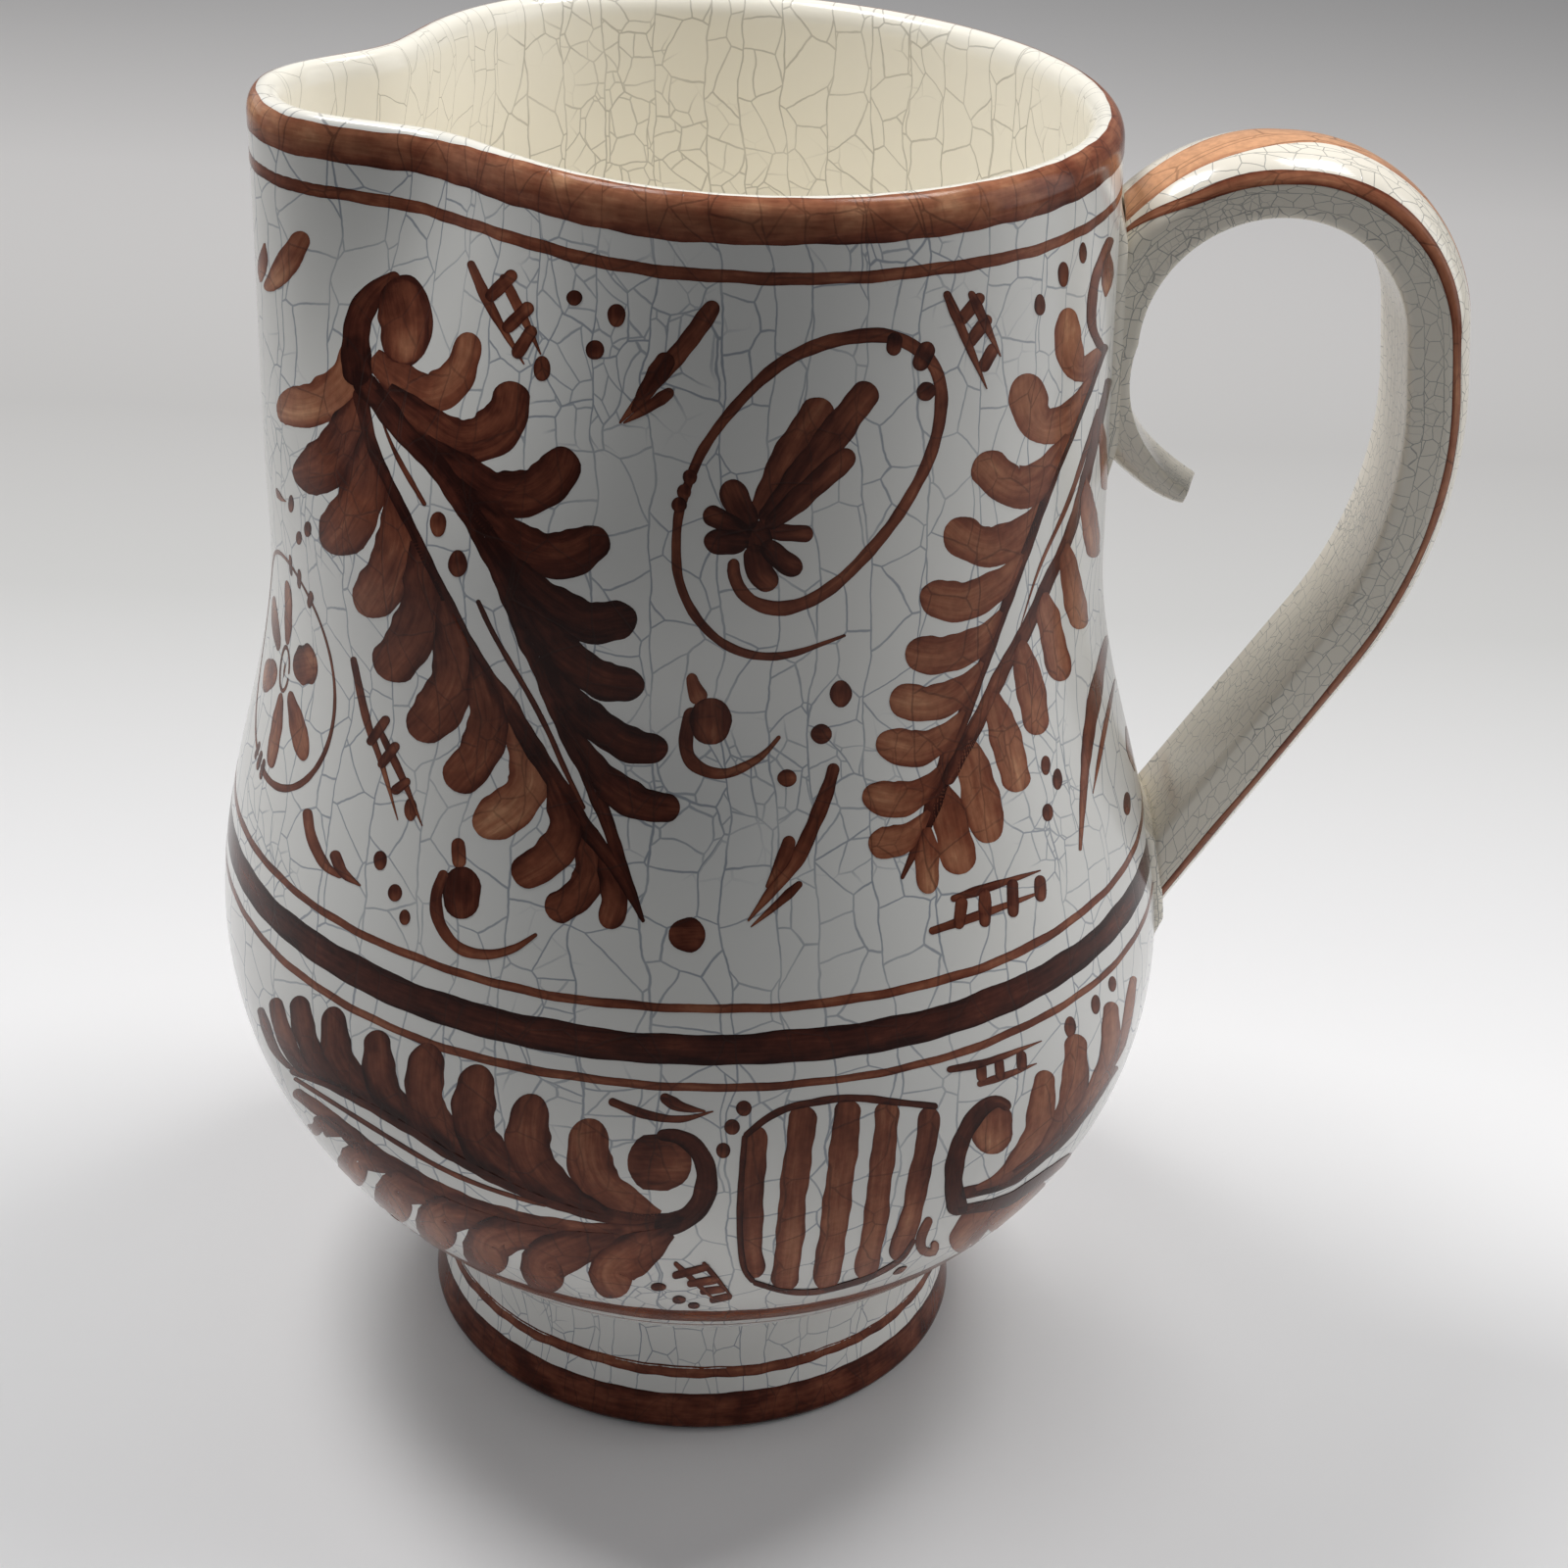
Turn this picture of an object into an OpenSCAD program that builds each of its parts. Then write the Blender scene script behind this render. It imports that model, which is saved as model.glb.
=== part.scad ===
// Hand-thrown earthenware pitcher: bellied body with a pinched pouring lip, turned foot ring,
// and one pulled strap handle whose tail is pressed on the neck and curls free into the finger loop.
// Millimetres, +Z up, origin at the middle of the foot on the table.
// The handle lies along +X, the spout points along -X turned a little towards -Y.

/* [Body] */
// Height of the rim above the table
rim_z = 200; // [185:1:230]
// Outer radius of the neck at the rim
rim_r = 60; // [54:0.1:66]
// Outer radius where the neck begins
neck_r = 60.7; // [55:0.1:66]
// Height where the neck begins
neck_z = 136; // [125:1:150]
// Outer radius of the belly at its widest
belly_r = 72.3; // [68:0.1:80]
// Height of the widest part of the belly
belly_z = 73; // [64:0.1:84]
// Outer radius of the body where it stands on the foot
base_r = 43.6; // [41:0.1:48]
// Outward run of the wall for each millimetre of rise, just above the foot
base_slope = 1.25; // [0.6:0.01:1.5]
// Rounding of the lower edge of the body
base_round = 1.5; // [0.6:0.1:2]
// Thickness of the thrown wall
wall = 5; // [4:0.1:7]
// Thickness of the floor inside the body
floor_t = 6; // [4:0.1:9]
// How far the rim has settled towards the spout
lean = 7.4; // [0:0.1:10]

/* [Lip] */
// Height of the rounded lip
lip_h = 3.6; // [2:0.1:6]

/* [Spout] */
// Turn of the spout away from the side opposite the handle
spout_turn = 14; // [-20:1:20]
// Depth of the two finger pinches that form the spout
pinch_depth = 15; // [6:0.5:20]
// Angle from the spout's tip to each pinch
pinch_angle = 32; // [28:1:50]
// Spread of each pinch along the rim, in degrees
pinch_spread = 29; // [18:1:34]
// How far the tip is drawn out again
tip_pull = 11; // [0:0.1:12]
// Half width of the drawn tip, in degrees
tip_spread = 9.7; // [8:0.1:16]
// Bluntness of the tip, in degrees
tip_blunt = 12.5; // [6:0.5:16]
// Height over which the spout fades into the neck
spout_run = 58; // [40:1:64]

/* [Foot] */
// Height of the foot ring
foot_h = 20.4; // [16:0.1:24]
// How far the foot's outer edge at the table lies inside the body's lower edge
foot_inset = 0.6; // [-2:0.1:3]
// Depth of the waist of the foot below its outer edge
foot_waist = 2; // [0.5:0.1:4]
// Height of the waist of the foot
foot_waist_z = 11; // [8:0.1:13]
// Rounding of the foot's lower outer edge
foot_round = 1.6; // [0.6:0.1:2.5]
// Radial thickness of the foot ring at the table
foot_wall = 7; // [5:0.1:10]
// Inward slope of the foot's hollow, from the table to the body
foot_draft = 2.5; // [0:0.1:4]

/* [Handle] */
// Inner radius of the finger loop
loop_r = 18.8; // [17:0.1:24]
// Height of the loop's centre below the rim
loop_drop = 31.7; // [28:0.1:40]
// Thickness of the strap where it is pressed on the neck
pressed_t = 2; // [1.5:0.1:5]
// Outward slope of the leg where it leaves the loop, from upright
leg_flare = 8; // [0:0.5:15]
// Straight run between the loop and the bend of the leg
leg_run = 9; // [4:0.5:20]
// Inner radius of the bend of the leg
leg_bend_r = 58; // [40:1:64]
// Least length of straight leg between the bend and the belly
leg_least = 12; // [8:0.5:20]
// Height of the root's inner face above the widest part of the belly
root_rise = 18.2; // [14:0.1:24]
// Sweep of the free tail past the neck, in degrees
tail_sweep = 72; // [45:1:85]
// How far the tail opens away from the loop's circle
tail_open = 5.7; // [0:0.1:8]
// Width of the strap at the belly
root_w = 22; // [18:0.5:26]
// Width of the strap over the arch
arch_w = 20; // [16:0.5:24]
// Width of the tail at its cut end
tail_w = 13; // [9:0.5:18]
// Height of the strap's edges on the leg
leg_edge = 6.8; // [5:0.1:9]
// Height of the strap's edges over the arch
arch_edge = 5.6; // [4:0.1:8]
// Height of the strap's edges at the cut end of the tail
tail_edge = 2; // [1.4:0.1:4]
// Height of the strap's edges where it comes down on the neck
neck_edge = 6.6; // [5:0.1:9]
// Rise of the crowned outer face above the edges
crown = 3.6; // [2:0.1:5]
// Rise of the crown left at the cut end of the tail
tail_crown = 0.6; // [0.4:0.1:2]
// Rounding of the strap's inner edges
edge_round = 1; // [0.4:0.1:1.3]

/* [Slip] */
// Thickness of the slip that joins two pieces of clay
slip_t = 0.6; // [0.4:0.1:1.5]
// Thickness left at the feathered border of a slip bed
slip_feather = 0.2; // [0.1:0.05:0.3]
// Clearance left between the strap and the slip under it
seat_gap = 0.12; // [0.1:0.01:0.3]

/* [Hidden] */
$fn = 96;

// Facets: columns round the wall, rows up the outside, rows down the inside, steps over the lip,
// round the lower edge of the body and round the edge of the foot
columns = 72;
outer_rows = 26;
inner_rows = 20;
lip_steps = 5;
edge_steps = 3;
round_steps = 6;
column_step = 360 / columns;

// Heights where the pieces meet
base_z = foot_h + slip_t;
wall_low_z = base_z + base_round;
wall_top_z = rim_z - lip_h;
inside_z = base_z + floor_t;
row_h = (wall_top_z - wall_low_z) / outer_rows;

// Cubic from a to b, with end slopes ma and mb, t from 0 to 1
function cubic(t, a, b, ma, mb) =
    (2*t*t*t - 3*t*t + 1)*a + (t*t*t - 2*t*t + t)*ma + (3*t*t - 2*t*t*t)*b + (t*t*t - t*t)*mb;
function clamp01(t) = min(1, max(0, t));
function ease(t) = t*t*(3 - 2*t);
function bell(a, spread) = exp(-a*a/(2*spread*spread));

// Turned profile: radius at height z, of the outside (inset 0) or the inside (inset = wall)
neck_slope = (rim_r - neck_r) / (rim_z - neck_z);
function belly_part(z, inset, z0) =
    cubic((z - z0)/(belly_z - z0), base_r - inset, belly_r - inset, base_slope*(belly_z - z0), 0);
function shoulder_part(z, inset) =
    cubic((z - belly_z)/(neck_z - belly_z), belly_r - inset, neck_r - inset,
          0, neck_slope*(neck_z - belly_z));
function profile(z, inset, z0) =
    z < belly_z ? belly_part(z, inset, z0) :
    z < neck_z ? shoulder_part(z, inset) : neck_r - inset + neck_slope*(z - neck_z);

// The spout: two pinches beside a drawn tip, fading down the neck
spout_dir = 180 + spout_turn;
function half_turn(angle) = (angle + 900) % 360 - 180;
function from_tip(angle) = norm([half_turn(angle - spout_dir), tip_blunt]);
function spout_shape(angle) =
    tip_pull*bell(from_tip(angle) - tip_blunt, tip_spread)
    - pinch_depth*bell(from_tip(angle) - pinch_angle, pinch_spread);
function spout_fade(z) = ease(clamp01(1 - (rim_z - z)/spout_run));

// Wall radius about the leaning centre, and the point on the wall at an angle and a height
function centre_x(z) = -lean*(z - base_z)/(rim_z - base_z);
function wall_r(angle, z, inset=0, z0=base_z) =
    profile(z, inset, z0) + spout_fade(z)*spout_shape(angle);
function at(angle, radius, z) = [centre_x(z) + radius*cos(angle), radius*sin(angle), z];
function on_wall(angle, z, proud=0) = at(angle, wall_r(angle, z) + proud, z);

// Triangles between neighbouring rings of n points each, and a fan that closes a ring
function band(i, j, n, closed=true) = [
    for (k = [0 : n - (closed ? 1 : 2)])
        let (a = i + k, b = i + (k + 1) % n, c = j + (k + 1) % n, d = j + k)
            each [[a, c, b], [a, d, c]]
];
function fan(ring, n, middle, turned) = [
    for (k = [0 : n - 1])
        turned ? [middle, ring + (k + 1) % n, ring + k] : [middle, ring + k, ring + (k + 1) % n]
];
function skin(rings, n) = [for (i = [0 : rings - 2]) each band(i*n, (i + 1)*n, n)];

// Rings of the body: rounded lower edge, outside, lip, inside
function outer_row_z(i) = wall_low_z + row_h*i;
function ring_of(f) = [for (k = [0 : columns - 1]) f(k*column_step)];
function edge_ring(i) =
    let (turn = 90*i/edge_steps, z = base_z + base_round*(1 - cos(turn)))
        ring_of(function (a) on_wall(a, z, -base_round*(1 - sin(turn))));
function outer_ring(i) = ring_of(function (a) on_wall(a, outer_row_z(i)));
function lip_ring(i) =
    let (turn = 180*i/(lip_steps + 1), z = wall_top_z + lip_h*sin(turn))
        ring_of(function (a) at(a, wall_r(a, wall_top_z) - wall/2 + cos(turn)*wall/2, z));
function inner_ring(i) =
    let (z = wall_top_z - (wall_top_z - inside_z)*i/inner_rows)
        ring_of(function (a) at(a, wall_r(a, z, wall, inside_z), z));

module body() {
    rings = [
        for (i = [0 : edge_steps - 1]) edge_ring(i),
        for (i = [0 : outer_rows]) outer_ring(i),
        for (i = [1 : lip_steps]) lip_ring(i),
        for (i = [0 : inner_rows]) inner_ring(i)
    ];
    n = len(rings);
    points = [each [for (r = rings) each r], at(0, 0, base_z), at(0, 0, inside_z)];
    faces = [
        each skin(n, columns),
        each fan(0, columns, n*columns, false),
        each fan((n - 1)*columns, columns, n*columns + 1, true)
    ];
    color("whitesmoke") polyhedron(points, faces);
}

// Foot: turned ring with a waist, rounded at the table and flared to the body
seat_r = base_r - base_round;
foot_r = base_r - foot_inset;
foot_waist_r = foot_r - foot_waist;
foot_in_r = foot_r - foot_wall;
seat_in_r = foot_in_r - foot_draft;
flare_steps = 8;
module foot_ring() {
    flare = [
        for (i = [0 : flare_steps])
            let (t = i/flare_steps)
                [foot_waist_r + (seat_r - foot_waist_r)*t*t, foot_waist_z + (foot_h - foot_waist_z)*t]
    ];
    edge = [
        for (i = [0 : round_steps])
            let (a = -90 + 90*i/round_steps)
                [foot_r - foot_round + foot_round*cos(a), foot_round + foot_round*sin(a)]
    ];
    color("whitesmoke")
        rotate_extrude()
            polygon([[foot_in_r, 0], each edge, each flare, [seat_in_r, foot_h]]);
}

// Slip between the foot and the body
module foot_slip() {
    color("wheat")
        translate([0, 0, foot_h])
            rotate_extrude()
                polygon([[seat_in_r, 0], [seat_r, 0], [seat_r, slip_t], [seat_in_r, slip_t]]);
}

// Handle: inner face of the strap in the XZ plane, as points with their outward normals
loop_z = rim_z - loop_drop;
strap_seat = slip_t + seat_gap;
loop_x = centre_x(loop_z) + wall_r(0, loop_z) + strap_seat + pressed_t + loop_r;
arch_top = 90;
tail_start = 180;
tail_end = tail_start + tail_sweep;
seat_start = 150;
function loop_radius(a) = loop_r + tail_open*clamp01((a - tail_start)/tail_sweep);
function loop_normal(a) = [cos(a), sin(a)];
function loop_point(a) = [loop_x, loop_z] + loop_radius(a)*loop_normal(a);
flare_dir = [sin(leg_flare), -cos(leg_flare)];
flare_normal = [cos(leg_flare), sin(leg_flare)];
run_start = loop_point(leg_flare);
bend_start = run_start + leg_run*flare_dir;

// The root's inner face on the slip; the bend is as wide as set, or as the room above the root allows
root_z = belly_z + root_rise;
root_seat = [centre_x(root_z) + wall_r(0, root_z) + strap_seat, root_z];
root_way = root_seat - bend_start;
bend_room = (root_way*root_way - leg_least^2)/(-2*root_way*flare_normal);
bend_r = min(leg_bend_r, bend_room);
bend_middle = bend_start - bend_r*flare_normal;
function bend_point(b) = bend_middle + bend_r*[cos(b), -sin(b)];

// The leg leaves the bend on the straight line that ends at the root
leg_way = root_seat - bend_middle;
leg_straight = sqrt(leg_way*leg_way - bend_r^2);
leg_angle = atan2(-leg_way.y, leg_way.x) - atan2(leg_straight, bend_r);
leg_start = bend_point(leg_angle);
leg_dir = [-sin(leg_angle), -cos(leg_angle)];

// Strap section at an angle of the loop: width, height of the edges and rise of the crown
function loop_width(a) = lookup(a, [[tail_start, arch_w], [tail_end, tail_w]]);
function tail_part(a) = clamp01((a - seat_start)/(tail_end - seat_start));
function loop_edge(a) =
    a < seat_start ? lookup(a, [[leg_flare, leg_edge], [arch_top, arch_edge], [seat_start, neck_edge]])
                   : neck_edge + (tail_edge - neck_edge)*tail_part(a)^2;
function loop_crown(a) = crown + (tail_crown - crown)*tail_part(a);
crown_steps = 7;
face_steps = 4;
function section(w, edge, rise) = [
    [w/2 - edge_round, 0],
    [w/2, edge_round],
    for (i = [0 : crown_steps])
        let (a = 180*i/crown_steps)
            [w/2*cos(a), edge + rise*sin(a)],
    [-w/2, edge_round],
    for (i = [0 : face_steps - 1])
        [(w/2 - edge_round)*(2*i/face_steps - 1), 0]
];
section_n = crown_steps + face_steps + 4;
function placed(p, normal, s) = [p.x + normal.x*s[1], s[0], p.y + normal.y*s[1]];

// A point that would sink into the neck is pressed flat against the slip instead
function pressed(q) =
    let (dx = q.x - centre_x(q.z), angle = atan2(q.y, dx), r = norm([dx, q.y]))
        at(angle, max(r, wall_r(angle, q.z) + strap_seat), q.z);

// Distance from a point of the leg down to the slip on the belly, found by halving
leg_reach = loop_z - base_z;
halvings = 26;
function past_wall(q) =
    let (dx = q.x - centre_x(q.z))
        norm([dx, q.y]) < wall_r(atan2(q.y, dx), q.z) + strap_seat;
function along_leg(q, s) = [q.x + leg_dir.x*s, q.y, q.z + leg_dir.y*s];
function leg_length(q, lo=0, hi=leg_reach, left=halvings) =
    left == 0 ? lo :
    past_wall(along_leg(q, (lo + hi)/2)) ? leg_length(q, lo, (lo + hi)/2, left - 1)
                                         : leg_length(q, (lo + hi)/2, hi, left - 1);

// Rings of the strap from the tail's cut end over the loop and down the leg
loop_steps = 40;
run_steps = 2;
bend_steps = 6;
leg_steps = 8;
function loop_ring(i) =
    let (a = tail_end + (leg_flare - tail_end)*i/loop_steps)
        [for (s = section(loop_width(a), loop_edge(a), loop_crown(a)))
            pressed(placed(loop_point(a), loop_normal(a), s))];
function bend_ring(b) =
    [for (s = section(arch_w, leg_edge, crown)) placed(bend_point(b), [cos(b), -sin(b)], s)];
function run_ring(t) =
    [for (s = section(arch_w, leg_edge, crown)) placed(run_start + t*leg_run*flare_dir, flare_normal, s)];
leg_normal = [cos(leg_angle), -sin(leg_angle)];
function leg_ring(t) = [
    for (s = section(arch_w + (root_w - arch_w)*t, leg_edge, crown))
        let (q = placed(leg_start, leg_normal, s))
            along_leg(q, t*leg_length(q))
];
function root_point(height) =
    let (q = placed(leg_start, leg_normal, [0, height]))
        along_leg(q, leg_length(q));

module handle() {
    rings = [
        for (i = [0 : loop_steps]) loop_ring(i),
        for (i = [1 : run_steps]) run_ring(i/run_steps),
        for (i = [1 : bend_steps]) bend_ring(-leg_flare + (leg_angle + leg_flare)*i/bend_steps),
        for (i = [1 : leg_steps]) leg_ring(i/leg_steps)
    ];
    n = len(rings);
    tail_cap = placed(loop_point(tail_end), loop_normal(tail_end), [0, (tail_edge + tail_crown)/2]);
    root_cap = root_point((leg_edge + crown)/2);
    points = [each [for (r = rings) each r], tail_cap, root_cap];
    faces = [
        each skin(n, section_n),
        each fan(0, section_n, n*section_n, false),
        each fan((n - 1)*section_n, section_n, n*section_n + 1, true)
    ];
    color("ivory") polyhedron(points, faces);
}

// Slip bed: a patch of the wall's own facets under a strap of width w, between two heights,
// feathered at its border
module slip_bed(z_low, z_high, w) {
    first = floor((z_low - wall_low_z)/row_h);
    rows = ceil((z_high - wall_low_z)/row_h) - first;
    side = ceil(asin(w/2/wall_r(0, (z_low + z_high)/2))/column_step);
    last = 2*side;
    n = last + 1;
    function angle(k) = column_step*(k - side);
    function proud(i, k) = i == 0 || i == rows || k == 0 || k == last ? slip_feather : slip_t;
    under = [for (i = [0 : rows]) for (k = [0 : last]) on_wall(angle(k), outer_row_z(first + i))];
    over = [for (i = [0 : rows]) for (k = [0 : last]) on_wall(angle(k), outer_row_z(first + i), proud(i, k))];
    top = len(under);
    rim = [
        for (k = [0 : last]) k,
        for (i = [1 : rows]) i*n + last,
        for (k = [1 : last]) rows*n + last - k,
        for (i = [1 : rows - 1]) (rows - i)*n
    ];
    faces = [
        for (i = [0 : rows - 1]) each band(i*n, (i + 1)*n, n, false),
        for (i = [0 : rows - 1]) for (f = band(top + i*n, top + (i + 1)*n, n, false)) [f[2], f[1], f[0]],
        for (k = [0 : len(rim) - 1])
            let (a = rim[k], b = rim[(k + 1) % len(rim)])
                each [[a, b, top + b], [a, top + b, top + a]]
    ];
    color("wheat") polyhedron([each under, each over], faces);
}

// Heights between which the strap lies on the neck, and on the belly
function touches(a) =
    let (q = placed(loop_point(a), loop_normal(a), [0, loop_edge(a) + loop_crown(a)])) pressed(q) != q;
contact = [for (a = [arch_top + 1 : tail_end]) if (touches(a)) loop_point(a).y];
module neck_slip() {
    slip_bed(min(contact), max(contact), arch_w);
}
module belly_slip() {
    slip_bed(root_point(leg_edge + crown).z, root_point(0).z, root_w);
}

body();
foot_ring();
foot_slip();
handle();
neck_slip();
belly_slip();
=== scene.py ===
"""Looks of a hand-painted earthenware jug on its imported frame: crackled glaze, iron-brown brushwork, studio light.

Lengths are millimetres and angles degrees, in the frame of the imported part, until a mesh is made.
The brushwork is given as brush lines in the photograph (image frame of 1600 by 1600 pixels) and is laid on the
wall where the camera's ray meets it, so that each stroke sits on the clay that carries it.
"""

import functools
import math

import bpy
import numpy as np
from mathutils import Matrix


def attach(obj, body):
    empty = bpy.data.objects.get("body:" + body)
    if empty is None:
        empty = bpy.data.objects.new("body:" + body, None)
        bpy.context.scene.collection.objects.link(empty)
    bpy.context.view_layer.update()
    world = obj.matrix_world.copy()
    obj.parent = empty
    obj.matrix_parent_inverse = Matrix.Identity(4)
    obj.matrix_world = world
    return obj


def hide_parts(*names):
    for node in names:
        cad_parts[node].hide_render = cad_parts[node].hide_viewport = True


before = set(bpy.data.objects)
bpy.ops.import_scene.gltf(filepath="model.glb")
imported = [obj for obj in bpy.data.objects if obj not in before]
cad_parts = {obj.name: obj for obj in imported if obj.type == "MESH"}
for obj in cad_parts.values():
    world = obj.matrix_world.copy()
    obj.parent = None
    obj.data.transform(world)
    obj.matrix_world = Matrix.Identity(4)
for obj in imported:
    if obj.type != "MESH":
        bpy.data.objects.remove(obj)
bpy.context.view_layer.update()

MM = 0.001
FRAME_PX = 1600

# Body
RIM_Z, RIM_R = 200.0, 60.0
NECK_Z, NECK_R = 136.0, 60.7
BELLY_Z, BELLY_R = 73.0, 72.3
BASE_R, BASE_SLOPE, BASE_ROUND = 43.6, 1.25, 1.5
WALL, FLOOR_T, LEAN, LIP_H = 5.0, 6.0, 7.4, 3.6
FOOT_H, SLIP_T = 20.4, 0.6
BASE_Z = FOOT_H + SLIP_T
INSIDE_Z = BASE_Z + FLOOR_T
WALL_LOW_Z = BASE_Z + BASE_ROUND
WALL_TOP_Z = RIM_Z - LIP_H

# Spout
SPOUT_DIR = 194.0
PINCH_DEPTH, PINCH_ANGLE, PINCH_SPREAD = 15.0, 32.0, 29.0
TIP_PULL, TIP_SPREAD, TIP_BLUNT = 11.0, 9.7, 12.5
SPOUT_RUN = 58.0

# Foot
FOOT_R, FOOT_WAIST_R, FOOT_WAIST_Z, FOOT_ROUND = 43.0, 41.0, 11.0, 1.6
FOOT_IN_R, SEAT_IN_R = 36.0, 33.5
SEAT_R = BASE_R - BASE_ROUND

# Handle
LOOP_R, LOOP_DROP, PRESSED_T = 18.8, 31.7, 2.0
LEG_FLARE, LEG_RUN, BEND_R, ROOT_RISE = 8.0, 9.0, 58.0, 18.2
TAIL_START, TAIL_SWEEP, TAIL_OPEN, SEAT_START = 180.0, 72.0, 5.7, 150.0
ROOT_W, ARCH_W, TAIL_W = 22.0, 20.0, 13.0
LEG_EDGE, ARCH_EDGE, NECK_EDGE, TAIL_EDGE = 6.8, 5.6, 6.6, 2.0
CROWN, TAIL_CROWN, EDGE_ROUND, SOFTER = 3.6, 0.6, 1.0, 1.4
STRAP_SEAT = 0.72

# Camera of the photograph
CAMERA_AT = np.array([-3.26, -378.7, 292.6])
FOCAL_PX = 2830.0
YAW, PITCH, ROLL = 0.0381, 0.4863, 0.0528


# The wall

def cubic(t, a, b, slope_a, slope_b):
    return ((2*t**3 - 3*t*t + 1)*a + (t**3 - 2*t*t + t)*slope_a
            + (3*t*t - 2*t**3)*b + (t**3 - t*t)*slope_b)


def ease(t):
    t = np.clip(t, 0, 1)
    return t*t*(3 - 2*t)


def bell(a, spread):
    return np.exp(-a*a/(2*spread*spread))


def profile(z, inset=0.0, low=BASE_Z):
    """Radius of the turned wall at a height, outside or (with the wall as inset) inside."""
    z = np.asarray(z, float)
    neck_slope = (RIM_R - NECK_R)/(RIM_Z - NECK_Z)
    belly = cubic((z - low)/(BELLY_Z - low), BASE_R - inset, BELLY_R - inset, BASE_SLOPE*(BELLY_Z - low), 0)
    shoulder = cubic((z - BELLY_Z)/(NECK_Z - BELLY_Z), BELLY_R - inset, NECK_R - inset,
                     0, neck_slope*(NECK_Z - BELLY_Z))
    neck = NECK_R - inset + neck_slope*(z - NECK_Z)
    return np.where(z < BELLY_Z, belly, np.where(z < NECK_Z, shoulder, neck))


def spout_shape(angle):
    turn = (angle - SPOUT_DIR + 900) % 360 - 180
    off = np.hypot(turn, TIP_BLUNT)
    return TIP_PULL*bell(off - TIP_BLUNT, TIP_SPREAD) - PINCH_DEPTH*bell(off - PINCH_ANGLE, PINCH_SPREAD)


def wall_r(angle, z, inset=0.0, low=BASE_Z):
    fade = ease(1 - (RIM_Z - z)/SPOUT_RUN)
    return profile(z, inset, low) + fade*spout_shape(angle)


def centre_x(z):
    return -LEAN*(z - BASE_Z)/(RIM_Z - BASE_Z)


def at(angle, radius, z):
    a = np.radians(angle)
    return np.stack(np.broadcast_arrays(centre_x(z) + radius*np.cos(a), radius*np.sin(a), z), -1)


def on_wall(angle, z, proud=0.0):
    return at(angle, wall_r(angle, z) + proud, z)


def lip_at(angle, turn, proud=0.0):
    """Point of the rounded lip: turn 0 at the outside, 90 on the crest, 180 at the inside."""
    t = np.radians(turn)
    middle = wall_r(angle, WALL_TOP_Z) - WALL/2
    return at(angle, middle + (WALL/2 + proud)*np.cos(t), WALL_TOP_Z + (LIP_H + proud)*np.sin(t))


LIP_ARC = math.pi*math.sqrt(((WALL/2)**2 + LIP_H**2)/2)


def outside(angle, up, proud=0.0):
    """Point on the outside by its distance along the meridian from the foot of the lip, negative down the wall."""
    angle, up = np.broadcast_arrays(np.asarray(angle, float), np.asarray(up, float))
    wall_part = on_wall(angle, WALL_TOP_Z + np.minimum(up, 0), proud)
    lip_part = lip_at(angle, 180*np.maximum(up, 0)/LIP_ARC, proud)
    return np.where((up > 0)[..., None], lip_part, wall_part)


def wall_normal(angle, z):
    step = 0.05
    round_way = on_wall(angle + step, z) - on_wall(angle - step, z)
    up_way = on_wall(angle, z + step) - on_wall(angle, z - step)
    n = np.cross(round_way, up_way)
    return n/np.linalg.norm(n, axis=-1, keepdims=True)


# The camera's rays

forward = np.array([math.sin(YAW)*math.cos(PITCH), math.cos(YAW)*math.cos(PITCH), -math.sin(PITCH)])
level = np.array([math.cos(YAW), -math.sin(YAW), 0.0])
upward = np.cross(level, forward)
right_way = math.cos(ROLL)*level + math.sin(ROLL)*upward
up_way = -math.sin(ROLL)*level + math.cos(ROLL)*upward


def round_axis(p):
    """Angle of points round the leaning axis, and their distance from it."""
    dx = p[:, 0] - centre_x(p[:, 2])
    return np.degrees(np.arctan2(p[:, 1], dx)), np.hypot(dx, p[:, 1])


def halved(low, high, hits, times):
    """Bracket of the place where hits turns true, halved a number of times."""
    for _ in range(times):
        middle = (low + high)/2
        hit = hits(middle)
        high = np.where(hit, middle, high)
        low = np.where(hit, low, middle)
    return low, high


# Depths between which a ray is followed to the wall, the step, and the halvings of the last step
RAY_FROM, RAY_TO, RAY_STEP, RAY_HALVINGS = 262.0, 480.0, 1.5, 16


def wall_at_pixel(pixels):
    """Angle and height where the camera's ray through each pixel first meets the outer wall, and whether it does."""
    ray = (forward + (pixels[:, :1] - FRAME_PX/2)/FOCAL_PX*right_way
           - (pixels[:, 1:] - FRAME_PX/2)/FOCAL_PX*up_way)

    def miss(depth):
        p = CAMERA_AT + ray*depth[:, None]
        angle, r = round_axis(p)
        z = np.clip(p[:, 2], BASE_Z, RIM_Z)
        return r - wall_r(angle, z) + np.abs(p[:, 2] - z), angle, z

    depths = np.arange(RAY_FROM, RAY_TO, RAY_STEP)
    gaps = np.stack([miss(np.full(len(ray), d))[0] for d in depths], 1)
    inside = gaps < 0
    met = inside.any(1)
    first = np.where(met, inside.argmax(1), gaps.argmin(1))
    before = depths[np.maximum(first - 1, 0)]
    high = halved(before, depths[first], lambda depth: miss(depth)[0] < 0, RAY_HALVINGS)[1]
    angle, z = miss(high)[1:]
    # From -270 to 90, so that no mark on the seen side is split
    return (angle + 270) % 360 - 270, z, met


# Meshes

# Radius that the glaze's chart has round the jug, and where the floor, the foot and the strap lie on the chart
CHART_R = 62.0
FLOOR_CHART, FOOT_CHART, STRAP_CHART = 900.0, -400.0, 700.0


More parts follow.
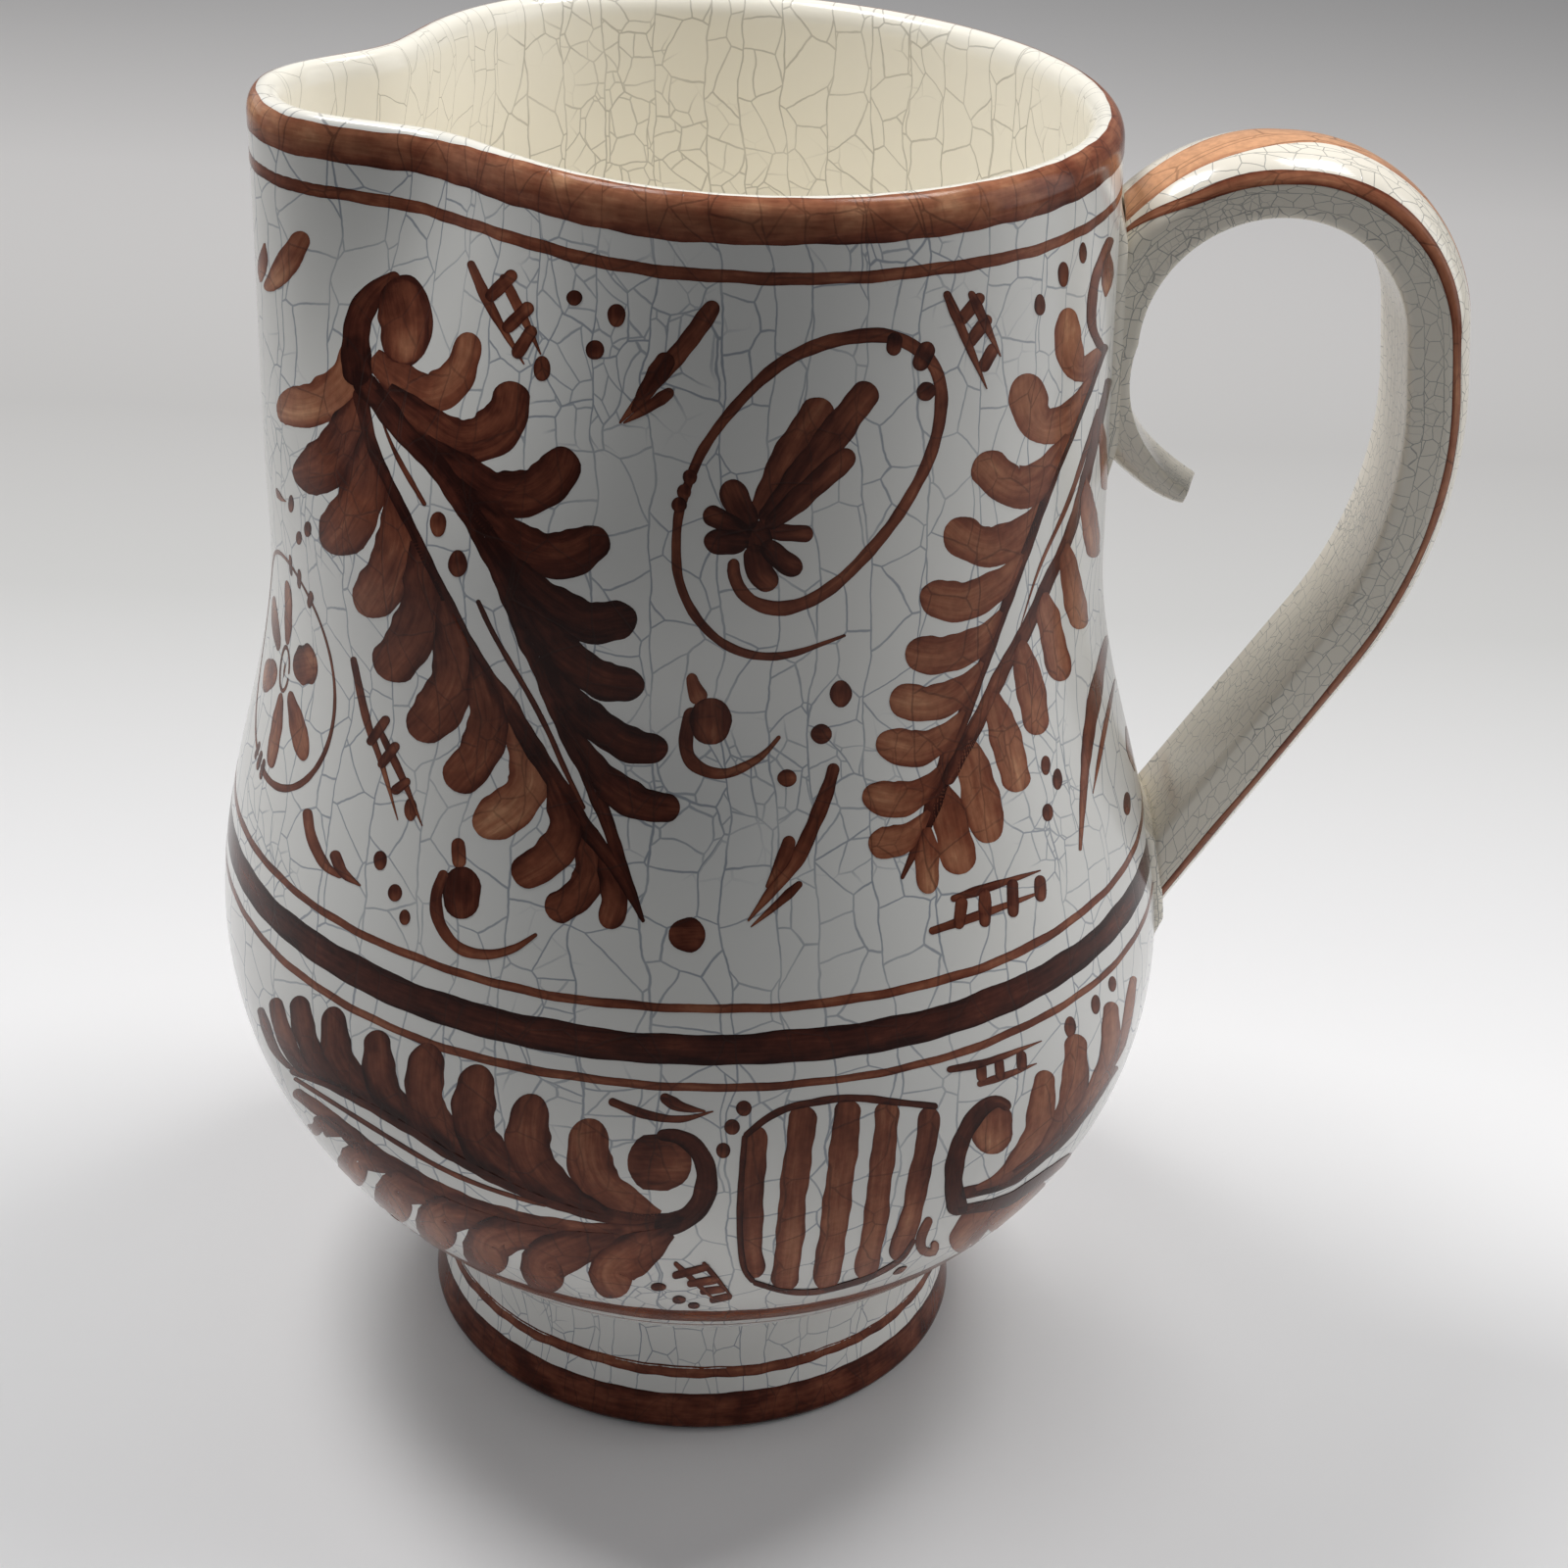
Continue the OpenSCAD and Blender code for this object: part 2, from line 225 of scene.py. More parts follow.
def add_mesh(name, points, faces):
    mesh = bpy.data.meshes.new(name)
    mesh.from_pydata((np.asarray(points)*MM).tolist(), [], faces)
    mesh.shade_smooth()
    piece = bpy.data.objects.new(name, mesh)
    bpy.context.scene.collection.objects.link(piece)
    return piece


def set_attribute(piece, name, domain, values):
    """Puts numbers on a mesh, or vectors; a place on the chart, of two numbers, gets a third of zero."""
    kind, field = ("FLOAT", "value") if values.ndim == 1 else ("FLOAT_VECTOR", "vector")
    if values.ndim == 2:
        values = np.pad(values, ((0, 0), (0, 3 - values.shape[1])))
    values = np.ascontiguousarray(values, np.float32)
    piece.data.attributes.new(name, kind, domain).data.foreach_set(field, values.ravel())


def ring_quads(n, k):
    """Ring and column of the corners of the quads in n rows of k."""
    ring, col = [a.ravel() for a in np.meshgrid(np.arange(n), np.arange(k), indexing="ij")]
    return np.stack([ring, ring, ring + 1, ring + 1], 1), np.stack([col, col + 1, col + 1, col], 1)


def tube(name, rings, chart, inner=None, flat_rings=0):
    """Closed skin over rings of points, fanned shut at both ends; chart is each corner's place on the glaze.

    The first and last flat_rings of them lie in a plane, and so does the glaze there.
    """
    n, k = rings.shape[:2]
    r4, c4 = ring_quads(n - 1, k)
    quads = r4*k + c4 % k
    fan = [[n*k, (j + 1) % k, j] for j in range(k)]
    fan += [[n*k + 1, (n - 1)*k + j, (n - 1)*k + (j + 1) % k] for j in range(k)]
    points = np.concatenate([rings.reshape(-1, 3), rings[:1].mean(1), rings[-1:].mean(1)])
    piece = add_mesh(name, points, quads.tolist() + fan)
    first, last = chart[0], chart[-1]
    fan_chart = [[first.mean(0), first[j + 1], first[j]] for j in range(k)]
    fan_chart += [[last.mean(0), last[j], last[j + 1]] for j in range(k)]
    corners = np.concatenate([chart[r4, c4].reshape(-1, 2), np.array(fan_chart).reshape(-1, 2)])
    if flat_rings:
        flat_quads = (r4[:, 0] < flat_rings) | (r4[:, 0] > n - 2 - flat_rings)
        flat = np.concatenate([np.repeat(flat_quads, 4), np.ones(6*k, bool)])
        plane = np.concatenate([points[quads].reshape(-1, 3), points[np.array(fan)].reshape(-1, 3)])[:, :2]
        corners = np.where(flat[:, None], plane + FLOOR_CHART, corners)
    set_attribute(piece, "chart", "CORNER", corners)
    if inner is not None:
        set_attribute(piece, "inner", "POINT", np.concatenate([np.repeat(inner, k), [inner[0], inner[-1]]]))
    return piece


def along(points):
    """Distance along a line of points, from its first one."""
    steps = np.linalg.norm(np.diff(points, axis=0), axis=1)
    return np.concatenate([[0.0], np.cumsum(steps)])


# Body: floor under the foot, rounded lower edge, outside, lip, inside, floor

COLUMNS = 240
FRONT = 3*COLUMNS//4
FLOOR_SHARES = (0.15, 0.5, 0.85, 0.97)
FLOOR_ROWS, EDGE_ROWS, WALL_ROWS, LIP_ROWS, INSIDE_ROWS = len(FLOOR_SHARES), 6, 170, 20, 90
# Turns of the lip between which its glaze changes from the outside's to the inside's
INNER_FROM, INNER_RUN = 30, 70
angles = np.arange(COLUMNS)*360.0/COLUMNS


def body_rings():
    """Rings of the body, and how much of the inside's glaze each has."""
    rings = [at(angles, (BASE_R - BASE_ROUND)*share, BASE_Z) for share in FLOOR_SHARES]
    for turn in np.linspace(0, 90, EDGE_ROWS + 1)[:-1]:
        t = math.radians(turn)
        rings.append(on_wall(angles, BASE_Z + BASE_ROUND*(1 - math.cos(t)), -BASE_ROUND*(1 - math.sin(t))))
    rings += [on_wall(angles, z) for z in np.linspace(WALL_LOW_Z, WALL_TOP_Z, WALL_ROWS)]
    lip_turns = np.linspace(0, 180, LIP_ROWS + 2)[1:-1]
    rings += [lip_at(angles, turn) for turn in lip_turns]
    rings += [at(angles, wall_r(angles, z, WALL, INSIDE_Z), z) for z in np.linspace(WALL_TOP_Z, INSIDE_Z, INSIDE_ROWS)]
    rings += [at(angles, (BASE_R - WALL)*share, INSIDE_Z) for share in FLOOR_SHARES[::-1]]
    inner = [np.zeros(FLOOR_ROWS + EDGE_ROWS + WALL_ROWS), ease((lip_turns - INNER_FROM)/INNER_RUN),
             np.ones(INSIDE_ROWS + FLOOR_ROWS)]
    return np.array(rings), np.concatenate(inner)


rings, inner = body_rings()
outer_rows = slice(FLOOR_ROWS + EDGE_ROWS, FLOOR_ROWS + EDGE_ROWS + WALL_ROWS + 1)
outer_z = rings[outer_rows, FRONT, 2]
meridian = along(rings[:, FRONT])
meridian -= np.interp(BELLY_Z, outer_z, meridian[outer_rows])
outer_m = meridian[outer_rows]
chart = np.stack(np.broadcast_arrays(np.radians(np.arange(COLUMNS + 1)*360/COLUMNS)*CHART_R,
                                     meridian[:, None]), -1)
body = tube("jug_body", rings, chart, inner, FLOOR_ROWS)
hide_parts("body")


def wall_chart(angle, z):
    return np.stack([np.radians(angle)*CHART_R, np.interp(z, outer_z, outer_m)], -1)


# Foot ring with its hollow, and the slip between the foot and the body

def upright(angle, radius, z):
    """Point round the foot's upright axis."""
    a = np.radians(angle)
    return np.stack(np.broadcast_arrays(radius*np.cos(a), radius*np.sin(a), z), -1)


def turned(name, outline):
    """Ring turned from a closed outline of radius and height."""
    outline = np.asarray(outline, float)
    rings = np.stack([upright(angles, r, z) for r, z in outline])
    n = len(rings)
    r4, c4 = ring_quads(n, COLUMNS)
    piece = add_mesh(name, rings.reshape(-1, 3), ((r4 % n)*COLUMNS + c4 % COLUMNS).tolist())
    length = along(np.concatenate([outline, outline[:1]]))
    corners = np.stack([np.radians(c4*360/COLUMNS)*CHART_R, length[r4] + FOOT_CHART], -1).reshape(-1, 2)
    set_attribute(piece, "chart", "CORNER", corners)
    return piece


def foot_r(z):
    """Outer radius of the foot at a height."""
    z = np.asarray(z, float)
    below = FOOT_ROUND - np.minimum(z, FOOT_ROUND)
    low = FOOT_R - FOOT_ROUND + np.sqrt(np.maximum(0, FOOT_ROUND**2 - below**2))
    waist = FOOT_R + (FOOT_WAIST_R - FOOT_R)*(z - FOOT_ROUND)/(FOOT_WAIST_Z - FOOT_ROUND)
    flare = FOOT_WAIST_R + (SEAT_R - FOOT_WAIST_R)*((z - FOOT_WAIST_Z)/(FOOT_H - FOOT_WAIST_Z))**2
    return np.where(z < FOOT_ROUND, low, np.where(z < FOOT_WAIST_Z, waist, flare))


edge_heights = FOOT_ROUND*(1 - np.cos(np.radians(np.linspace(0, 90, 9))))
foot_heights = np.concatenate([edge_heights, np.linspace(FOOT_ROUND, FOOT_H, 26)[1:]])
foot_outline = [(FOOT_IN_R + 0.8, 0.0), (FOOT_R - FOOT_ROUND - 0.6, 0.0)]
foot_outline += [(float(foot_r(z)), float(z)) for z in foot_heights]
foot_outline += [(SEAT_R - 0.4, FOOT_H), (SEAT_IN_R + 0.4, FOOT_H), (SEAT_IN_R, FOOT_H)]
foot_outline += [(SEAT_IN_R + (FOOT_IN_R - SEAT_IN_R)*t, FOOT_H*(1 - t)) for t in (0.05, 0.3, 0.6, 0.9, 0.97)]
foot = turned("jug_foot", foot_outline)
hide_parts("foot_ring")

slip_arc = np.radians(np.linspace(-90, 90, 9))
SLIP_EDGE_IN, SLIP_EDGE_R = 0.5, 0.4
foot_slip = turned("foot_slip_bed", [(SEAT_IN_R, FOOT_H)] + [
    (SEAT_R - SLIP_EDGE_IN + SLIP_EDGE_R*math.cos(a), FOOT_H + SLIP_T/2 + SLIP_T/2*math.sin(a)) for a in slip_arc
] + [(SEAT_IN_R, BASE_Z)])
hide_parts("foot_slip")

# Handle: one pulled strap from the tail's cut end over the loop, down the leg to the belly

LOOP_Z = RIM_Z - LOOP_DROP
LOOP_X = float(centre_x(LOOP_Z) + wall_r(0.0, LOOP_Z)) + STRAP_SEAT + PRESSED_T + LOOP_R
TAIL_END = TAIL_START + TAIL_SWEEP


def way(angle):
    a = math.radians(angle)
    return np.array([math.cos(a), math.sin(a)])


def loop_point(a):
    return np.array([LOOP_X, LOOP_Z]) + (LOOP_R + TAIL_OPEN*min(1, max(0, (a - TAIL_START)/TAIL_SWEEP)))*way(a)


flare_dir, flare_normal = way(LEG_FLARE - 90), way(LEG_FLARE)
run_start = loop_point(LEG_FLARE)
ROOT_Z = BELLY_Z + ROOT_RISE
bend_middle = run_start + LEG_RUN*flare_dir - BEND_R*flare_normal
root_way = np.array([float(centre_x(ROOT_Z) + wall_r(0.0, ROOT_Z)) + STRAP_SEAT, ROOT_Z]) - bend_middle
LEG_ANGLE = math.degrees(math.atan2(-root_way[1], root_way[0])
                         - math.atan2(math.sqrt(root_way @ root_way - BEND_R**2), BEND_R))
leg_start = bend_middle + BEND_R*way(-LEG_ANGLE)
leg_dir = way(-90 - LEG_ANGLE)


def loop_shape(a):
    """Width, height of the edges and rise of the crown at an angle of the loop."""
    tail = min(1, max(0, (a - SEAT_START)/(TAIL_END - SEAT_START)))
    edge = (float(np.interp(a, [LEG_FLARE, 90, SEAT_START], [LEG_EDGE, ARCH_EDGE, NECK_EDGE])) if a < SEAT_START
            else NECK_EDGE + (TAIL_EDGE - NECK_EDGE)*tail**2)
    return (float(np.interp(a, [TAIL_START, TAIL_END], [ARCH_W, TAIL_W])), edge, CROWN + (TAIL_CROWN - CROWN)*tail)


def past_wall(q):
    angle, r = round_axis(q)
    return r < wall_r(angle, q[:, 2]) + STRAP_SEAT


LEG_HALVINGS = 30


def strap_ring(kind, p, section):
    """Points of the strap at a station: section gives (across, outward) pairs for a width, edge and crown."""
    if kind == "loop":
        base, normal, shape = loop_point(p), way(p), loop_shape(p)
    elif kind == "run":
        base, normal, shape = run_start + p*LEG_RUN*flare_dir, flare_normal, (ARCH_W, LEG_EDGE, CROWN)
    elif kind == "bend":
        base, normal, shape = bend_middle + BEND_R*way(-p), way(-p), (ARCH_W, LEG_EDGE, CROWN)
    else:
        base, normal = leg_start, way(-LEG_ANGLE)
        shape = (ARCH_W + (ROOT_W - ARCH_W)*p, LEG_EDGE, CROWN)
    s = section(*shape)
    q = np.stack([base[0] + normal[0]*s[:, 1], s[:, 0], base[1] + normal[1]*s[:, 1]], 1)
    if kind == "loop":
        angle, r = round_axis(q)
        return at(angle, np.maximum(r, wall_r(angle, q[:, 2]) + STRAP_SEAT), q[:, 2])
    if kind == "leg":
        step = np.array([leg_dir[0], 0, leg_dir[1]])
        reach = halved(np.zeros(len(q)), np.full(len(q), LOOP_Z - BASE_Z),
                       lambda d: past_wall(q + d[:, None]*step), LEG_HALVINGS)[0]
        return q + (p*reach)[:, None]*step
    return q


LOOP_STATIONS, RUN_STATIONS, BEND_STATIONS, LEG_STATIONS = 150, 7, 25, 25
stations = [("loop", a) for a in np.linspace(TAIL_END, LEG_FLARE, LOOP_STATIONS)]
stations += [("run", t) for t in np.linspace(0, 1, RUN_STATIONS)[1:]]
stations += [("bend", b) for b in np.linspace(-LEG_FLARE, LEG_ANGLE, BEND_STATIONS)[1:]]
stations += [("leg", t) for t in np.linspace(0, 1, LEG_STATIONS)[1:]]


def crown_shape(edge, rise):
    """Height where the crown starts and its rise: worked softer than drawn, at the same full height."""
    soft = min(SOFTER, edge*0.3)
    return edge - soft, rise + soft


def strap_section(w, edge, rise):
    """Closed outline of the strap from the middle of its inner face: flat face, rounded edges, sides, crown."""
    r = EDGE_ROUND
    shoulder, top = crown_shape(edge, rise)
    face = [(y, 0.0) for y in np.linspace(0, w/2 - r, 6)[:-1]]
    corner = [(w/2 - r + r*math.sin(t), r - r*math.cos(t)) for t in np.linspace(0, math.pi/2, 6)]
    side = [(w/2, h) for h in np.linspace(r, max(shoulder, r + 0.1), 6)[1:-1]]
    crown = [(w/2*math.cos(t), shoulder + top*math.sin(t)) for t in np.linspace(0, math.pi/2, 19)]
    half = face + corner + side + crown
    other = [(-y, h) for y, h in half[-2:0:-1]]
    return np.array(half + other)


# The tail is cut on a slant, its far edge reaching further than its near one, with a low cap drawn in on the cut
TAIL_SLANT, TAIL_SLANT_RUN = 3.6, 9.0
TAIL_CAP_H, TAIL_CAP_DRAW, TAIL_CAP_RUN = 0.35, 0.05, 0.4
# Station whose outline gives the chart round the strap
CHART_STATION = 60

strap = np.array([strap_ring(kind, p, strap_section) for kind, p in stations])
tail_way = strap[0] - strap[1]
tail_way *= (TAIL_SLANT*strap[0, :, 1]/TAIL_W/np.linalg.norm(tail_way, axis=1))[:, None]
strap = strap + tail_way*(1 - ease(along(strap[:, 0])/TAIL_SLANT_RUN))[:, None, None]
tail_back = strap[0] - strap[1]
tail_back *= TAIL_CAP_H/np.linalg.norm(tail_back, axis=1, keepdims=True)
tail_cap = strap[0] + tail_back + TAIL_CAP_DRAW*(strap[0].mean(0) - strap[0])
strap_length = along(strap[:, 0])
around = along(np.concatenate([strap[CHART_STATION], strap[CHART_STATION, :1]]))
strap_rings = np.concatenate([tail_cap[None], strap])[:, ::-1]
strap_chart = np.stack(np.broadcast_arrays(around[::-1][None, :] + STRAP_CHART,
                                           np.concatenate([[-TAIL_CAP_RUN], strap_length])[:, None]), -1)
handle = tube("jug_handle", strap_rings, strap_chart)
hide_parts("handle")


# Slip beds under the strap, swelling a little round its edges

SLIP_SHOWS, SLIP_SWELL, SLIP_SUNK = 0.9, 1.3, 0.25
# How fast a bed swells from its borders, across and along, and how far the borders are sunk
SWELL_ACROSS, SWELL_ALONG, BORDER_SUNK = 10, 6, 0.02
PAD_COLUMNS, PAD_ROWS = 41, 33


def slip_pad(name, z_low, z_high, strap_width):
    z = np.linspace(z_low, z_high, PAD_ROWS)
    half_turn = np.degrees((strap_width(z)/2 + SLIP_SHOWS)/wall_r(0.0, z))
    share, grid_z = np.meshgrid(np.linspace(-1, 1, PAD_COLUMNS), z, indexing="ij")
    grid_a = share*half_turn
    border = np.minimum((1 - np.abs(share))*SWELL_ACROSS,
                        np.minimum(grid_z - z_low, z_high - grid_z)/(z_high - z_low)*SWELL_ALONG)
    upper = on_wall(grid_a, grid_z, SLIP_SWELL*ease(border) - BORDER_SUNK)
    lower = on_wall(grid_a, grid_z, -SLIP_SUNK)
    points = np.concatenate([upper.reshape(-1, 3), lower.reshape(-1, 3)])
    piece = add_mesh(name, points, shell_faces(*upper.shape[:2]).tolist())
    set_attribute(piece, "chart", "POINT", np.tile(wall_chart(grid_a % 360, grid_z).reshape(-1, 2), (2, 1)))
    return piece


def shell_faces(n, m, start=0):
    """Faces of a closed thin shell over an n by m grid: upper side, lower side and the four borders."""
    i, j = [a.ravel() for a in np.meshgrid(np.arange(n - 1), np.arange(m - 1), indexing="ij")]
    upper = np.stack([i*m + j, (i + 1)*m + j, (i + 1)*m + j + 1, i*m + j + 1], 1)
    lower = upper[:, ::-1] + n*m
    rim = [k*m for k in range(n)] + [(n - 1)*m + k for k in range(1, m)]
    rim += [k*m + m - 1 for k in range(n - 2, -1, -1)] + [k for k in range(m - 2, 0, -1)]
    rim = np.array(rim)
    nxt = np.roll(rim, -1)
    side = np.stack([nxt, rim, rim + n*m, nxt + n*m], 1)
    return np.concatenate([upper, lower, side]) + start


# Loop angle from which the strap can touch the neck, how near counts, and how far a bed reaches past the strap's ends
TOUCH_FROM, TOUCH_GAP, SLIP_PAST = 100, 0.01, 2

crest_line = [strap_ring(kind, p, lambda w, edge, rise: np.array([[0.0, edge + rise]]))[0] for kind, p in stations]
touching = np.array(sorted((q[2], loop_shape(p)[0]) for q, (kind, p) in zip(crest_line, stations)
                           if kind == "loop" and p > TOUCH_FROM
                           and q[0] - centre_x(q[2]) < wall_r(0.0, q[2]) + STRAP_SEAT + TOUCH_GAP))
root_heights = strap[-1][:, 2]
neck_pad = slip_pad("neck_slip_bed", touching[0, 0] - SLIP_PAST, touching[-1, 0] + SLIP_PAST,
                    lambda z: np.interp(z, *touching.T))
belly_pad = slip_pad("belly_slip_bed", root_heights.min() - SLIP_PAST, root_heights.max() + SLIP_PAST,
                     lambda z: ROOT_W + 0*z)
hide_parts("neck_slip")
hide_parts("belly_slip")

# Brushwork

rng = np.random.default_rng(7)


def smooth_line(points):
    """Fine points on a smooth line through the given ones, x and y in turn, and their distances along it."""
    p = np.asarray(points, float).reshape(-1, 2)
    if len(p) == 2:
        p = np.stack([p[0], p.mean(0), p[1]])
    q = np.concatenate([[2*p[0] - p[1]], p, [2*p[-1] - p[-2]]])
    t = np.linspace(0, 1, 12, endpoint=False)[:, None]
    parts = []
    for a, b, c, d in zip(q[:-3], q[1:-2], q[2:-1], q[3:]):
        parts.append(0.5*(2*b + (c - a)*t + (2*a - 5*b + 4*c - d)*t*t + (3*b - a - 3*c + d)*t**3))
    fine = np.concatenate(parts + [p[-1:]])
    return fine, along(fine)


# Width of a brush mark along its length, as shares of its full width
EVEN = (0.85, 1.0, 1.0, 0.85)
LOBE = (0.12, 0.8, 1.0, 1.06, 0.98)
CURLED = (0.35, 0.7, 0.95, 1.0, 0.74)
FROND = (0.15, 0.5, 0.8, 1.0, 0.97, 0.85)
TAILED = (0.35, 0.75, 0.95, 1.0, 0.78)
HOOK = (0.45, 0.75, 1.0, 1.0, 0.6)
LEAF = (0.15, 0.7, 1.0, 0.75, 0.12)
POINT_END = (0.7, 1.0, 0.85, 0.55, 0.12)
POINT_START = POINT_END[::-1]
ACROSS = np.array([-1.0, -0.94, -0.8, -0.6, -0.4, -0.2, 0.0, 0.2, 0.4, 0.6, 0.8, 0.94, 1.0])
# How far a rib is carried on past its ends, when it is asked on which side of it a lobe lies
RIB_REACH = 80.0
# A mark reaches this share of its bend's radius on the inner side, so that it doesn't fold there
BEND_SHARE = 0.8
# Unevenness of a mark's width: lengths in pixels and shares
LONG_WAVE, LONG_SHARE, SHORT_WAVE, SHORT_SHARE = 9, 0.05, 4, 0.03
# Millimetres on the wall that a pixel stands for
PX_MM = 0.13
strokes = {}


def kept_side(grid, rib, tip):
    """The grid of a lobe with the points that lie across its rib moved back onto the rib."""
    fine = smooth_line(rib)[0]
    ends = [a + (a - b)/np.linalg.norm(a - b)*RIB_REACH for a, b in (fine[:2], fine[:-3:-1])]
    fine = np.concatenate([np.linspace(ends[0], fine[0], 20)[:-1], fine, np.linspace(fine[-1], ends[1], 20)[1:]])
    forward_way = np.gradient(fine, axis=0)

    def side(points):
        near = np.linalg.norm(points[..., None, :] - fine, axis=-1).argmin(-1)
        off, run = points - fine[near], forward_way[near]
        return run[..., 0]*off[..., 1] - run[..., 1]*off[..., 0], fine[near]

    beside, nearest = side(grid)
    wrong = beside*np.sign(side(tip)[0]) < 0
    return np.where(wrong[..., None], nearest, grid)


def stroke(group, points, width, shape=EVEN, tone=0.42, core=0.25, step=3.5, place=None, px=1.0, rib=None, cap=None):
    """One brush mark. place maps its own plane to (angle, height) on the wall; without it the plane is the photo.

    The ends are round; a mark that grows from a rib starts flat on it. cap sets the length of the round ends.
    """
    fine, length = smooth_line(points)
    total = length[-1]
    start_cap, end_cap = [min(cap or 0.5*width*share, 0.5*total) for share in (shape[0], shape[-1])]
    if rib:
        start_cap = 0.0
    arc = 1 - np.cos(np.linspace(0, math.pi/2, 7))
    middle = np.linspace(start_cap, total - end_cap, max(3, int((total - start_cap - end_cap)/step) + 1))
    spots = np.concatenate([start_cap*arc[:-1] if start_cap else [], middle, total - end_cap*arc[::-1][1:]])
    spots = spots[np.concatenate([[True], np.diff(spots) > 1e-6])]
    line, tangent = [np.stack([np.interp(spots, length, values[:, k]) for k in (0, 1)], 1)
                     for values in (fine, np.gradient(fine, axis=0))]
    half = 0.5*width*np.interp(spots/total, np.linspace(0, 1, len(shape)), shape)
    phase = rng.uniform(0, 6.28, 3)
    half = half*(1 + LONG_SHARE*np.sin(spots/(LONG_WAVE*px) + phase[0])
                 + SHORT_SHARE*np.sin(spots/(SHORT_WAVE*px) + phase[1]))
    for gap, reach in ((spots, start_cap), (total - spots, end_cap)):
        if reach:
            u = np.clip(gap/reach, 0, 1)
            half = half*np.sqrt(np.maximum(1 - (1 - u)**2, 0.0004))
    tangent /= np.maximum(np.linalg.norm(tangent, axis=1, keepdims=True), 1e-9)
    normal = np.stack([-tangent[:, 1], tangent[:, 0]], 1)
    turning = np.gradient(np.unwrap(np.arctan2(tangent[:, 1], tangent[:, 0])), np.maximum(spots, 1e-6))
    turning = np.convolve(np.pad(turning, 2, "edge"), np.ones(5)/5, "valid")
    inner_side = [np.minimum(half, BEND_SHARE/np.maximum(sign*turning, 1e-6)) for sign in (1, -1)]
    reach = np.where(ACROSS > 0, inner_side[0][:, None], inner_side[1][:, None])*ACROSS
    grid = line[:, None] + normal[:, None]*reach[..., None]
    if rib:
        grid = kept_side(grid, rib, fine[-1])
    strokes.setdefault(group, []).append(dict(
        line=line, half=half, grid=grid, spots=spots, tone=tone + rng.uniform(-0.05, 0.05),
        core=core, place=place, px=px, seed=float(rng.uniform(0, 100))))


neck = functools.partial(stroke, "paint_neck")
belly = functools.partial(stroke, "paint_belly")


def dot(brush, x, y, rx, ry=None, tone=0.3, core=0.2):
    ry = rx if ry is None else ry
    ends = [x - rx, y, x, y + 0.01, x + rx, y] if rx > ry else [x, y - ry, x + 0.01, y, x, y + ry]
    brush(ends, 2*min(rx, ry), (1, 1, 1), tone, core, 2.5, cap=max(rx, ry))


def ladder(brush, rails, rungs, width):
    for rail in rails:
        brush(rail, width*0.8, POINT_END, 0.36)
    for rung in rungs:
        brush(rung, width, EVEN, 0.33)


def fern(brush, rib, shape, tone, core, lobes):
    """Lobes of a fern, each a line from the rib to its round tip and a width."""
    for *points, width in lobes:
        brush(points, width, shape, tone, core, rib=rib)


# Left fern on the neck
RIB_A = [380, 398, 412, 441, 438, 466, 462, 497, 484, 530, 504, 565, 522, 603, 538, 645, 550, 670, 565, 709, 581, 750,
         597, 782, 609, 812, 620, 840, 630, 870, 643, 904, 655, 938]
RIB_B = [366, 395, 379, 452, 397, 493, 419, 537, 438, 576, 461, 622, 485, 670, 503, 699, 519, 720, 535, 748, 549, 771,
         561, 789, 579, 817, 595, 842, 613, 865, 632, 893, 657, 941]
fern(neck, RIB_A, (0.5, 0.85, 1.0, 0.85, 0.55), 0.5, 0.3, [
    (379, 363, 406, 386, 436, 401, 462, 389, 475, 363, 479, 339, 43)
])
for tone, lobe in ((0.26, (392, 396, 426, 423, 462, 449, 495, 446, 517, 423, 524, 389, 50)),
                   (0.24, (429, 449, 466, 476, 502, 502, 542, 502, 568, 482, 577, 456, 50)),
                   (0.15, (462, 492, 495, 525, 532, 559, 572, 567, 602, 555, 618, 542, 50)),
                   (0.08, (492, 545, 522, 582, 558, 615, 598, 635, 628, 633, 650, 628, 46)),
                   (0.12, (515, 595, 542, 632, 575, 668, 612, 693, 635, 698, 658, 700, 41)),
                   (0.14, (539, 655, 562, 691, 595, 728, 631, 754, 655, 763, 682, 763, 38)),
                   (0.18, (566, 722, 585, 757, 612, 792, 645, 816, 668, 823, 694, 825, 37))):
    fern(neck, RIB_A, CURLED, tone, 0.14, [lobe])
fern(neck, RIB_B, (0.5, 0.8, 1.0, 1.0, 0.85), 0.58, 0.26, [(362, 352, 353, 386, 331, 408, 306, 415, 283, 409, 47)])
fern(neck, RIB_B, LOBE, 0.36, 0.16, [
    (369, 400, 352, 446, 328, 477, 299, 486, 50), (374, 436, 373, 492, 356, 533, 333, 562, 51),
    (399, 488, 407, 541, 395, 586, 370, 628, 47), (422, 548, 432, 606, 419, 652, 389, 691, 49),
    (450, 610, 464, 676, 450, 720, 421, 752, 48), (482, 664, 498, 728, 488, 770, 459, 804, 43),
    (560, 790, 577, 843, 560, 875, 524, 897, 38), (590, 838, 602, 886, 590, 913, 558, 933, 34),
    (612, 866, 627, 912, 621, 948, 28)
])
fern(neck, RIB_B, LOBE, 0.6, 0.3, [(518, 720, 541, 784, 528, 818, 485, 848, 45)])
neck(RIB_A, 27, (0.9, 0.85, 0.9, 1.0, 1.0, 0.85, 0.65, 0.5, 0.2), 0.2, 0.1)
neck(RIB_B, 20, (0.8, 0.6, 0.55, 0.5, 0.6, 0.95, 1.0, 1.0, 0.7, 0.2), 0.2, 0.1)
neck([368, 380, 374, 394, 390, 410], 26, EVEN, 0.18, 0.1)
